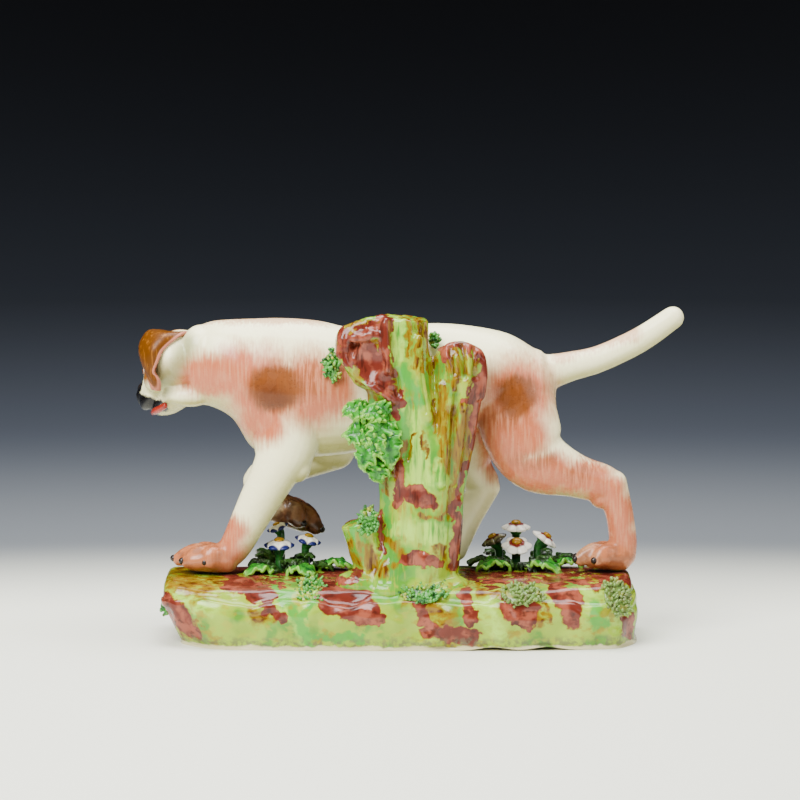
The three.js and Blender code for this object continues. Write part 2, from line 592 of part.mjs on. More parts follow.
// Paw: a palm and a row of toes. heading is -1 or 1 along X, and pitch turns the toes down.
function paw({ x, aside, height, length, width, thickness, pitch }, heading, grow = 0) {
  const heel = new THREE.Vector3(x, BODY_MIDLINE + aside, BASE_HEIGHT + height);
  const down = THREE.MathUtils.degToRad(pitch);
  const forward = new THREE.Vector3(heading * Math.cos(down), 0, -Math.sin(down));
  const rise = new THREE.Vector3(heading * Math.sin(down), 0, Math.cos(down));
  const onPaw = (ahead, sideways, up) =>
    heel.clone().addScaledVector(forward, ahead).addScaledVector(ACROSS, sideways).addScaledVector(rise, up);
  const palm = loft(
    {
      sections: PALM.map(({ ahead, up, wide, deep }) => ({
        at: onPaw(length * ahead, 0, thickness * up),
        wide: width * wide,
        deep: thickness * deep,
      })),
      across: ACROSS,
      sides: 8,
      steps: 1,
      startRound: thickness * PALM_ROUND,
      endRound: thickness * PALM_ROUND,
    },
    grow,
  );
  const toeRadius = width * TOE_RADIUS;
  const toes = [];
  for (let toe = 0; toe < TOES; toe += 1) {
    const row = toe - (TOES - 1) / 2;
    const reach = length * (Math.abs(row) > 1 ? OUTER_TOE_REACH : 1) - toeRadius;
    const sections = TOE.map(({ ahead, up, spread, wide, deep }) => ({
      at: onPaw(reach * ahead, row * TOE_PITCH * width * spread, thickness * up),
      wide: toeRadius * wide,
      deep: thickness * deep,
    }));
    toes.push(loft({ sections, across: ACROSS, sides: 6, steps: 1, endRound: toeRadius }, grow));
  }
  return join([palm, ...toes]);
}

function nearForeleg(grow = 0) {
  return join([limb(NEAR_FORELEG, grow, HEEL_ROUND), paw(NEAR_FOREPAW, -1, grow)]);
}

function farForeleg(grow = 0) {
  return join([
    limb(FAR_UPPER_ARM, grow),
    limb(FAR_FOREARM, grow),
    limb(FAR_PASTERN, grow),
    paw(FAR_FOREPAW, 1, grow),
  ]);
}

function nearHindLeg(grow = 0) {
  return join([limb(NEAR_THIGH, grow), limb(NEAR_HIND_PASTERN, grow, HEEL_ROUND), paw(NEAR_HIND_PAW, -1, grow)]);
}

function farHindLeg(grow = 0) {
  return join([limb(FAR_THIGH, grow), limb(FAR_HIND_PASTERN, grow, HEEL_ROUND), paw(FAR_HIND_PAW, -1, grow)]);
}

// Tree stump and its boughs. The sections stand on the rock.
function woodSections(stations) {
  return stations.map((station) => ({
    at: new THREE.Vector3(station.x, WOOD_MIDDLE + station.back, BASE_HEIGHT + station.height),
    wide: station.halfWidth,
    deep: station.halfDepth,
  }));
}

const bark = (angle, run) => 1 + BARK_RIDGE * Math.cos(BARK_RIDGES * angle + BARK_TWIST * run);

function stump(grow = 0) {
  return loft({ sections: woodSections(STUMP), across: ALONG, sides: 21, ripple: bark }, grow);
}

function bough(grow = 0) {
  const sections = woodSections(BOUGH);
  return loft({ sections, across: ALONG, sides: 14, endRound: BOUGH_ROUND, ripple: bark }, grow);
}

function knot(grow = 0) {
  const sections = woodSections(KNOT);
  return loft({ sections, across: ALONG, sides: 14, endRound: KNOT_ROUND, ripple: bark }, grow);
}

// The dished wood of the cut knot.
function knotDish() {
  const rim = woodSections(KNOT).at(-1).at;
  const inner = woodSections(KNOT).at(-2).at;
  const outward = rim.clone().sub(inner).normalize();
  const dish = new THREE.SphereGeometry(KNOT_DISH.radius, 12, 8);
  const centre = rim.clone().addScaledVector(outward, KNOT_ROUND + KNOT_DISH.radius - KNOT_DISH.depth);
  dish.translate(centre.x, centre.y, centre.z);
  return solid(dish);
}

function branchStub(grow = 0) {
  return loft({ sections: woodSections(BRANCH_STUB), across: ALONG, sides: 14, ripple: bark }, grow);
}

// A place on the bark at a height and a bearing, and the way out from it.
function onStump(height, bearing) {
  const path = new THREE.CatmullRomCurve3(
    STUMP.map(({ halfWidth, halfDepth, height: level }) => new THREE.Vector3(halfWidth, halfDepth, level)),
  );
  const axis = new THREE.CatmullRomCurve3(woodSections(STUMP).map((section) => section.at));
  let run = 0;
  while (run < 1 && path.getPoint(run).z < height) {
    run += 0.005;
  }
  const angle = THREE.MathUtils.degToRad(bearing);
  const size = path.getPoint(run);
  const place = axis.getPoint(run).add(new THREE.Vector3(size.x * Math.cos(angle), size.y * Math.sin(angle), 0));
  return { place, outward: new THREE.Vector3(Math.cos(angle), Math.sin(angle), 0) };
}

// Leaf: a thin, crowned blade with a lobed edge, from its root along the given direction.
function leaf(root, direction, crown, length, width) {
  const sections = LEAF_OUTLINE.map(({ along, wide }) => ({
    at: root
      .clone()
      .addScaledVector(direction, length * along)
      .addScaledVector(crown, length * LEAF_CURL * Math.sin(Math.PI * Math.max(along, 0))),
    wide: (width / 2) * wide,
    deep: LEAF_THICKNESS / 2,
  }));
  const across = direction.clone().cross(crown).normalize();
  return loft({ sections, across, sides: 6, steps: 1 });
}

function stumpLeaf({ height, bearing, lean, length, width }) {
  const { place, outward } = onStump(height, bearing);
  const sideways = UP.clone().cross(outward);
  const tip = THREE.MathUtils.degToRad(lean);
  const direction = outward
    .clone()
    .multiplyScalar(STUMP_LEAF_SPREAD)
    .addScaledVector(sideways, -Math.cos(tip))
    .addScaledVector(UP, Math.sin(tip))
    .normalize();
  const crown = outward.clone().addScaledVector(direction, -outward.dot(direction)).normalize();
  return leaf(place, direction, crown, length, width);
}

function groundLeaf({ x, y, bearing, length, width }) {
  const angle = THREE.MathUtils.degToRad(bearing);
  const root = new THREE.Vector3(x, y, rockTop(x, y) + LEAF_CLEARANCE);
  const direction = new THREE.Vector3(Math.cos(angle), Math.sin(angle), GROUND_LEAF_RISE).normalize();
  const crown = UP.clone().addScaledVector(direction, -UP.dot(direction)).normalize();
  return leaf(root, direction, crown, length, width);
}

// The place of a sprig on the rock, from the rock's own edges and top.
function onRock(sprig) {
  const x = sprig.x ?? (sprig.fromHeel ? baseEnd - sprig.fromHeel : baseStart + sprig.fromToe);
  const y = sprig.fromFront - BASE_DEPTH / 2;
  return { ...sprig, x, y, height: rockTop(x, y) - BASE_HEIGHT - sprig.drop };
}

// Moss: a pad with short strands that stand out of it in rows, pressed through a sieve and applied.
function moss({ x, y, height, facing, long, tall }) {
  const centre = new THREE.Vector3(x, y, BASE_HEIGHT + height);
  const outward = new THREE.Vector3(...facing).normalize();
  const side = Math.abs(outward.z) > 0.9 ? ALONG.clone() : UP.clone().cross(outward).normalize();
  const rise = outward.clone().cross(side);
  const pad = new THREE.SphereGeometry(1, 8, 5);
  pad.applyMatrix4(
    new THREE.Matrix4()
      .makeBasis(side, rise, outward)
      .scale(new THREE.Vector3(long / 2, tall / 2, MOSS_PAD))
      .setPosition(centre),
  );
  const strands = [];
  const rows = Math.max(1, Math.round(tall / MOSS_PITCH));
  const columns = Math.max(1, Math.round(long / MOSS_PITCH));
  for (let row = 0; row < rows; row += 1) {
    for (let column = 0; column < columns; column += 1) {
      const along = ((column + 0.5 + (row % 2) * MOSS_STAGGER) / columns - 0.5) * MOSS_FIELD * long;
      const up = ((row + 0.5) / rows - 0.5) * MOSS_FIELD * tall;
      const strand = new THREE.CylinderGeometry(MOSS_STRAND / 4, MOSS_STRAND / 2, 2 * MOSS_PROUD, 3);
      strand.rotateX(Math.PI / 2);
      strand.rotateY(MOSS_LEAN * Math.sin(3 * column + row));
      strand.applyMatrix4(
        new THREE.Matrix4()
          .makeBasis(side, rise, outward)
          .setPosition(centre.clone().addScaledVector(side, along).addScaledVector(rise, up)),
      );
      strands.push(solid(strand));
    }
  }
  return join([solid(pad), ...strands]);
}

// Blossom: a ring of pointed petals that fall from a round heart.
function blossomFrame({ x, y, height, tilt, bearing }) {
  const angle = THREE.MathUtils.degToRad(bearing);
  const lean = THREE.MathUtils.degToRad(tilt);
  const axis = new THREE.Vector3(Math.cos(angle) * Math.sin(lean), Math.sin(angle) * Math.sin(lean), Math.cos(lean));
  const turn = new THREE.Quaternion().setFromUnitVectors(UP, axis);
  return { centre: new THREE.Vector3(x, y, BASE_HEIGHT + height), axis, turn };
}

function blossom(flower) {
  const { centre, turn } = blossomFrame(flower);
  const { radius } = flower;
  const top = PETAL_LINE.map(({ out, fall }) => new THREE.Vector2(radius * out, -radius * fall));
  const underside = top.map(({ x, y }) => new THREE.Vector2(PETAL_UNDERSIDE * x, y - PETAL_THICKNESS));
  const petals = new THREE.LatheGeometry([...underside, ...top.reverse()], 2 * PETALS);
  const points = petals.attributes.position;
  for (let index = 0; index < points.count; index += 1) {
    const x = points.getX(index);
    const z = points.getZ(index);
    const out = Math.hypot(x, z) / radius;
    const notch = (1 - Math.cos(PETALS * Math.atan2(z, x))) / 2;
    const pull = 1 - PETAL_NOTCH * notch * out * out;
    points.setX(index, x * pull);
    points.setZ(index, z * pull);
  }
  petals.rotateX(Math.PI / 2);
  const heart = new THREE.SphereGeometry(radius * HEART_RADIUS, 7, 4);
  heart.translate(0, 0, radius * HEART_RISE);
  const whole = join([solid(petals), solid(heart)]);
  return placed(whole, centre, turn);
}

// A solid turned and moved into its place.
function placed(body, centre, turn) {
  const matrix = new THREE.Matrix4().compose(centre, turn, new THREE.Vector3(1, 1, 1));
  return body.transform(matrix.elements);
}

// Stem with its green cup under the petals, down to the rock.
function stem(flower) {
  const { centre, axis } = blossomFrame(flower);
  const { radius } = flower;
  const under = (distance) => centre.clone().addScaledVector(axis, -distance);
  const foot = under(radius * STEM_TOP);
  const ground = new THREE.Vector3(foot.x, foot.y, rockTop(foot.x, foot.y) - STEM_ROOT);
  const sections = [
    ...CALYX.map(({ wide, drop }) => ({
      at: under(PETAL_THICKNESS + SLIP + radius * drop),
      wide: radius * wide,
      deep: radius * wide,
    })),
    { at: foot, wide: STEM_RADIUS, deep: STEM_RADIUS },
    { at: ground, wide: STEM_RADIUS * STEM_FLARE, deep: STEM_RADIUS * STEM_FLARE },
  ];
  return loft({ sections, across: ALONG, sides: 7, steps: 1 });
}

const figure = new THREE.Group();

function add(name, body, color, roughness) {
  figure.add(piece(name, body, color, roughness));
}

add('rockwork_base', baseSolid(), APPLE_GREEN);
add('dog_body', body(), PORCELAIN);
add('dog_head', seat(head(), body), PORCELAIN);
add('lower_jaw', seat(lowerJaw(), body, head), PORCELAIN);
add('tongue', seat(tongue(), head, lowerJaw), TONGUE_RED);
add('near_ear', seat(ear(1), head, body), EAR_BROWN);
add('far_ear', seat(ear(-1), head, body), EAR_BROWN);
add('tail', seat(tail(), body), PORCELAIN);
add('near_foreleg', seat(nearForeleg(), body, rock), PORCELAIN);
add('far_foreleg', seat(farForeleg(), body), PORCELAIN);
add('near_hind_leg', seat(nearHindLeg(), body, rock), SALMON);
add('far_hind_leg', seat(farHindLeg(), body, rock, nearHindLeg), PORCELAIN);

add('tree_stump', seat(stump(), body, rock, nearHindLeg), APPLE_GREEN);
add('side_bough', seat(bough(), stump, body, nearHindLeg), APPLE_GREEN);
add('cut_knot', seat(knot().subtract(knotDish()), stump, body), IRON_RED);
add('branch_stub', seat(branchStub(), stump, rock), APPLE_GREEN);
STUMP_LEAVES.forEach((place, index) => {
  add(`stump_leaf_${index + 1}`, seat(stumpLeaf(place), stump, knot, body), LEAF_GREEN);
});

LEFT_BLOSSOMS.forEach((flower, index) => {
  add(`left_blossom_${index + 1}`, blossom(flower), PETAL_WHITE);
  add(`left_stem_${index + 1}`, seat(stem(flower), rock), LEAF_GREEN);
});
RIGHT_BLOSSOMS.forEach((flower, index) => {
  add(`right_blossom_${index + 1}`, blossom(flower), PETAL_WHITE);
  add(`right_stem_${index + 1}`, seat(stem(flower), rock), LEAF_GREEN);
});
GROUND_LEAVES.forEach((place) => {
  add(place.name, seat(groundLeaf(place), rock), LEAF_GREEN);
});

[...MOSS, ...ROCK_MOSS.map(onRock)].forEach((sprig) => {
  add(sprig.name, seat(moss(sprig), rock, body, stump, knot, bough, branchStub), MOSS_GREEN);
});

export default figure;
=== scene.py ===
import bisect
import math
import random

import bmesh
import bpy
from mathutils import Matrix, Quaternion, Vector, noise


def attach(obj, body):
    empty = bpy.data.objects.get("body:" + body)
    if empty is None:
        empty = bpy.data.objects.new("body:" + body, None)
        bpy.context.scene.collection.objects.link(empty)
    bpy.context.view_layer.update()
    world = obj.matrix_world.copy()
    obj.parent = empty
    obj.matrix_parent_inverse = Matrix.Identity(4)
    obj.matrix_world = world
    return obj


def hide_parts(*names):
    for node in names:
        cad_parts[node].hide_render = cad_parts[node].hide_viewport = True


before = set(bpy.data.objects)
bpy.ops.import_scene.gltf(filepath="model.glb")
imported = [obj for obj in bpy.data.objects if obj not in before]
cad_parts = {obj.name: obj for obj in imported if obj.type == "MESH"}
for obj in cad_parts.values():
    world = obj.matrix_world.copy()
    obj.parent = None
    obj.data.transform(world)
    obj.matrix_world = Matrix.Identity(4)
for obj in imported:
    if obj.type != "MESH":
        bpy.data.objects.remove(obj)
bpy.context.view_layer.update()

# The dog: white porcelain, pressed in moulds as body, legs and tail, luted together and wiped smooth, so it
# reads as one skin. It stands over the rock with a forepaw raised. Sizes are millimetres, and heights are
# measured from the top of the rock.
MM = 0.001
ROCK_TOP = 20
MIDLINE = 5  # the dog stands this far behind the middle of the rock

BODY = [  # x, sway, height, half width, half height
    (-66, 1.6, 62.7, 7.6, 11.8), (-60.5, 0.4, 63.4, 9.6, 13.2), (-54, 0, 61.8, 12.0, 15.4),
    (-48, 0, 57.4, 13.3, 20.0), (-39, 0, 56.0, 14.2, 21.6), (-28, 0, 55.8, 14.2, 21.0),
    (-18, 0, 55.3, 13.8, 19.4), (-6, 0, 56.8, 13.2, 18.2), (6, 0, 58.6, 12.6, 17.4),
    (18, 0, 59.2, 12.8, 16.1), (30, 0, 57.5, 12.8, 15.4), (38, 0, 55.2, 11.0, 13.2),
]
TAIL = [  # x, aside, height, half width, half height
    (34, 0, 58.6, 6.4, 6.6), (41.5, 0, 60.6, 5.4, 5.7), (49, 0, 62.6, 4.6, 4.6), (58.4, 0, 65.1, 4.15, 4.1),
    (70.6, 0, 70.9, 3.95, 3.9), (80.6, 0, 77.7, 3.6, 3.5),
]
NEAR_FORELEG = [
    (-35, -6, 52, 8, 9.8), (-37.5, -8, 39, 7.5, 9.2), (-41, -9, 31.5, 6.6, 7.3), (-46.6, -9, 21, 5.2, 6.1),
    (-50.3, -8.5, 13.8, 4.8, 5.4), (-53.8, -8, 7.5, 4.8, 4.8), (-57.5, -8, 4.4, 5, 4.3),
]
FAR_UPPER_ARM = [(-33, 6, 48, 8, 9), (-25, 8.5, 37.5, 6.5, 7.5), (-21.5, 9.5, 34.8, 5.3, 5.5)]
FAR_FOREARM = [(-22.5, 9.5, 35, 5.2, 5.4), (-33, 11, 31.4, 4.9, 5.1), (-46.8, 12, 26.6, 4.3, 4.7)]
FAR_PASTERN = [(-47.4, 12, 26, 4.3, 4.5), (-44, 11, 20.5, 4.2, 4.3), (-39, 10, 17, 4.7, 4.8)]
NEAR_THIGH = [
    (31.5, -4, 56, 8, 11.8), (33.6, -7, 45, 7.9, 12.4), (38.8, -8, 35.2, 7.1, 10.6),
    (49.8, -7.5, 30.2, 5.5, 7.0), (59.3, -6.5, 27.4, 4.5, 5.9), (62.8, -6.4, 26.6, 4.2, 4.8),
]
NEAR_HIND_PASTERN = [
    (61.8, -6.5, 26.6, 4.3, 4.9), (64.3, -6, 18, 4.1, 4.3), (65.5, -5, 9.5, 4.3, 4.3),
    (65, -5, 5, 4.7, 4.6),
]
FAR_THIGH = [(30, 3, 54, 8, 11), (20, 7, 42, 7, 10), (19, 9, 31.5, 5.5, 6.9), (23, 9.5, 25.2, 4.5, 5.2)]
FAR_HIND_PASTERN = [(23.6, 9.5, 24.6, 4.3, 4.8), (18, 9.5, 14, 4.1, 4.4), (13.5, 9.5, 4.6, 4.6, 4.6)]
MUSCLES = [  # x, aside, height, radii along X, Y, Z
    (-39, -8.5, 50, 9, 5.4, 13),  # near shoulder
    (-39, 8.5, 50, 9, 5.4, 13),
    (-47.5, 0, 47, 3.4, 8, 9),  # breast bone
    (-43.5, -6, 40, 4, 6, 8),  # front of the near shoulder
    (31, -7, 52, 11, 6.4, 12),  # near haunch
    (29, 7, 52, 11, 6.4, 12),
    (-34, -8.5, 33, 4, 4.5, 5),  # near elbow
    (-40, 0, 72, 9, 4, 4.6),  # withers
    (37, -2, 63, 6, 6, 4),  # croup
    (-67.5, 0, 53.8, 7.2, 5.2, 3.6),  # throat
    (-64, 0, 68.4, 6, 7, 7.2),  # nape
    (40, -4.5, 50, 5, 5, 9.5),  # back of the near thigh
    (58.6, -6.4, 23.2, 3.6, 3.4, 3.6),  # inside of the near hock
]
FORE_TOES = (0.44, 0.82, 0.98, 0.78)  # reach of each toe as a share of the paw
HIND_TOES = (0.64, 0.97, 0.94, 0.7)
PAWS = [  # heel x, aside, height, length, width, thickness, heading along X, pitch in degrees, toes
    (-55, -8, 4.4, 18.2, 12.5, 9.2, -1, 0, FORE_TOES),
    (-42, 10, 18, 17.3, 11, 10, 1, 24, HIND_TOES),
    (66, -5, 4.5, 16, 11, 8.8, -1, 0, HIND_TOES),
    (14, 9.5, 4.3, 16, 11, 8.4, -1, 0, HIND_TOES),
]
# Palm and toe: ahead, up, half width and half thickness, as shares of the whole.
PALM = [(0, 0, 0.38, 0.48), (0.3, 0.02, 0.47, 0.49), (0.62, -0.04, 0.43, 0.38)]
TOE = [(0.1, 0, 1.05, 0.38), (0.5, 0.04, 1.12, 0.38), (0.8, -0.06, 1.1, 0.33), (1, -0.16, 0.96, 0.24)]
TOE_ROWS = (-1.5, -0.5, 0.5, 1.5)
TOES_TO_WIDTH = 6.6  # half thicknesses of a toe across the paw
KNUCKLE = (0.22, 0.2, 0.08)  # ahead, aside and up, as shares of the length, width and thickness
TOE_SPLAY = 13  # degrees from toe to toe


def smooth_run(stations, steps):
    """Catmull-Rom points through the stations, steps for each span."""

    def along(a, b, c, d, t):
        curve = (2 * a - 5 * b + 4 * c - d) * t * t + (3 * b - a - 3 * c + d) * t**3
        return 0.5 * (2 * b + (c - a) * t + curve)

    ends = [stations[0], *stations, stations[-1]]
    points = []
    for index in range(1, len(ends) - 2):
        span = list(zip(*ends[index - 1 : index + 3]))
        points += [tuple(along(*four, step / steps) for four in span) for step in range(steps)]
    return [*points, stations[-1]]


def bridge(bm, previous, circle):
    """Joins a ring of points to the ring before it, and gives the ring's own edges."""
    found = list({edge for vert in circle for edge in vert.link_edges})
    if previous:
        bmesh.ops.bridge_loops(bm, edges=previous + found)
    return found


def oval_tube(bm, stations, across=(0, 1, 0), facing=None, sides=24, steps=5, start=0, end=0, ripple=None):
    """Closed tube of ovals through stations (x, y, z, wide, deep), with round ends start and end long."""
    run = smooth_run([tuple(station) for station in stations], steps)
    across = Vector(across)
    rings = []
    for index, (x, y, z, wide, deep) in enumerate(run):
        ahead = Vector(run[min(index + 1, len(run) - 1)][:3]) - Vector(run[max(index - 1, 0)][:3])
        along = Vector(facing) if facing else ahead.normalized()
        side = (across - across.dot(along) * along).normalized()
        rings.append((Vector((x, y, z)), side, along.cross(side), along, wide, deep, index / (len(run) - 1)))
    bulge = (0.35, 0.68, 0.9, 0.985)  # how far along a round end its rings lie
    first, last = rings[0], rings[-1]
    begin = [(first, math.sqrt(1 - part * part), -part * start) for part in reversed(bulge)] if start else []
    close = [(last, math.sqrt(1 - part * part), part * end) for part in bulge] if end else []
    previous = None
    for ring, share, shift in [*begin, *((ring, 1, 0) for ring in rings), *close]:
        centre, side, rise, along, wide, deep, place = ring
        turn = Matrix((side, rise, along)).transposed().to_4x4()
        size = Matrix.Diagonal((wide * share, deep * share, 1, 1))
        matrix = Matrix.Translation(centre + along * shift) @ turn @ size
        capped = ring in (first, last) and (previous is None or share < 0.2 or (not end and ring is last))
        made = bmesh.ops.create_circle(bm, cap_ends=capped, segments=sides, radius=1, matrix=matrix)
        circle = made["verts"]
        if ripple:
            for index, vert in enumerate(circle):
                vert.co = centre + (vert.co - centre) * ripple(2 * math.pi * index / sides, place)
        previous = bridge(bm, previous, circle)


def lump(bm, centre, radii, turn=None):
    """Ellipsoid of muscle, bone or clay."""
    matrix = Matrix.Translation(centre) @ (turn or Matrix.Identity(4)) @ Matrix.Diagonal((*radii, 1))
    bmesh.ops.create_icosphere(bm, subdivisions=3, radius=1, matrix=matrix)


def on_rock(stations, middle=MIDLINE):
    return [(x, middle + aside, ROCK_TOP + height, wide, deep) for x, aside, height, wide, deep in stations]


def to_piece(name, bm):
    """Object from a bmesh that is in millimetres."""
    bmesh.ops.scale(bm, vec=(MM, MM, MM), verts=bm.verts)
    bmesh.ops.recalc_face_normals(bm, faces=bm.faces)
    mesh = bpy.data.meshes.new(name)
    bm.to_mesh(mesh)
    bm.free()
    mesh.shade_smooth()
    piece = bpy.data.objects.new(name, mesh)
    bpy.context.scene.collection.objects.link(piece)
    return piece


def fuse(piece, voxel, rounds):
    """Turns overlapping closed forms into one skin and rubs down the joints."""
    remesh = piece.modifiers.new("skin", "REMESH")
    remesh.mode = "VOXEL"
    remesh.voxel_size = voxel
    rub = piece.modifiers.new("rub", "SMOOTH")
    rub.factor = 0.5
    rub.iterations = rounds
    shown = piece.evaluated_get(bpy.context.evaluated_depsgraph_get())
    mesh = bpy.data.meshes.new_from_object(shown)
    piece.modifiers.clear()
    old = piece.data
    piece.data = mesh
    bpy.data.meshes.remove(old)
    piece.data.shade_smooth()
    return piece


def paw(bm, x, aside, height, length, width, thickness, heading, pitch, toes, nails):
    """Palm and four splayed toes, and the places of the nails."""
    down = math.radians(pitch)
    forward = Vector((heading * math.cos(down), 0, -math.sin(down)))
    rise = Vector((heading * math.sin(down), 0, math.cos(down)))
    heel = Vector((x, MIDLINE + aside, ROCK_TOP + height))

    def spot(ahead, sideways, up):
        return heel + forward * ahead + Vector((0, sideways, 0)) + rise * up

    palm = [(*spot(length * a, 0, thickness * u), width * w, thickness * d) for a, u, w, d in PALM]
    oval_tube(bm, palm, start=thickness * 0.3, end=thickness * 0.3)
    radius = width / TOES_TO_WIDTH
    ahead, aside, up = KNUCKLE
    for row, share in zip(TOE_ROWS, toes):
        splay = math.radians(TOE_SPLAY) * row
        run = length * share - radius - length * ahead
        for_toe = forward * math.cos(splay) + Vector((0, math.sin(splay), 0))
        knuckle = spot(length * ahead, row * width * aside, thickness * up)
        toe = []
        for a, u, w, d in TOE:
            toe.append((*(knuckle + for_toe * run * a + rise * thickness * u), radius * w, thickness * d))
        oval_tube(bm, toe, end=radius, sides=16)
        nails.append((knuckle + for_toe * (run + radius * 0.75) - rise * thickness * 0.12, for_toe, rise))


nails = []
forms = bmesh.new()
oval_tube(forms, on_rock(BODY), facing=(1, 0, 0), sides=36, start=2, end=7)
oval_tube(forms, on_rock(TAIL), end=TAIL[-1][-1])
forelegs = (NEAR_FORELEG, FAR_UPPER_ARM, FAR_FOREARM, FAR_PASTERN)
hind_legs = (NEAR_THIGH, NEAR_HIND_PASTERN, FAR_THIGH, FAR_HIND_PASTERN)
for length_of_leg in (*forelegs, *hind_legs):
    oval_tube(forms, on_rock(length_of_leg), start=4, end=length_of_leg[-1][-1] * 0.8)
for x, aside, height, *radii in MUSCLES:
    lump(forms, (x, MIDLINE + aside, ROCK_TOP + height), radii)
for paw_sizes in PAWS:
    paw(forms, *paw_sizes, nails)

# Head: pressed with the body's clay and luted on at the nape, turned away and dropped, with a square muzzle,
# flews and a lower jaw. Distances are along the muzzle, to the dog's left, and up from the nape.
HEAD_TURN = math.radians(57)
HEAD_DROP = math.radians(33)
NAPE = Vector((-69.5, MIDLINE, ROCK_TOP + 67.6))
level = math.cos(HEAD_DROP)
MUZZLEWARD = Vector((-math.cos(HEAD_TURN) * level, math.sin(HEAD_TURN) * level, -math.sin(HEAD_DROP)))
LEFTWARD = Vector((0, 0, 1)).cross(MUZZLEWARD).normalized()
CROWNWARD = MUZZLEWARD.cross(LEFTWARD)
SKULL = [  # ahead, lift, half width, half height
    (0, -1.3, 7.9, 8.4), (6, -0.9, 8.0, 8.8), (12.5, -1.1, 7.4, 8.3), (17.5, -1.8, 5.7, 6.3),
    (23, -2.2, 4.6, 4.8), (27.6, -1.9, 4.1, 4.2),
]
JAW = [(8.5, -10.0, 5.4, 4.5), (16.5, -9.9, 4.4, 3.3), (22.5, -8.8, 3.3, 2.0)]
FACE = [  # ahead, aside, lift, radii along the muzzle, aside, up
    (14.5, 3.8, 3.2, 3.0, 2.2, 1.8),  # brow
    (11, 6.0, -3.5, 5, 2.6, 4.2),  # cheek
    (22.5, 3.3, -5.2, 5.0, 1.7, 2.8),  # flew
]


def on_head(ahead, aside, lift):
    return NAPE + MUZZLEWARD * ahead + LEFTWARD * aside + CROWNWARD * lift


head_turn = Matrix((MUZZLEWARD, LEFTWARD, CROWNWARD)).transposed().to_4x4()
for stations, start, end in ((SKULL, 4, 1.8), (JAW, 3, 1.4)):
    run = [(*on_head(ahead, 0, lift), wide, deep) for ahead, lift, wide, deep in stations]
    oval_tube(forms, run, across=LEFTWARD, start=start, end=end)
for ahead, aside, lift, *radii in FACE:
    for side in (1, -1):
        lump(forms, on_head(ahead, side * aside, lift), radii, head_turn)
dog = fuse(to_piece("dog", forms), voxel=0.56 * MM, rounds=5)


def srgb(red, green, blue):
    """Linear colour from the usual 0 to 255."""

    def straight(value):
        value /= 255
        return value / 12.92 if value <= 0.04045 else ((value + 0.055) / 1.055) ** 2.4

    return (straight(red), straight(green), straight(blue), 1)


WIPE_SCALE = 0.35  # of the patches where the glaze is wiped duller
RIPPLE_SCALE = 0.16  # of the slow waves in its surface


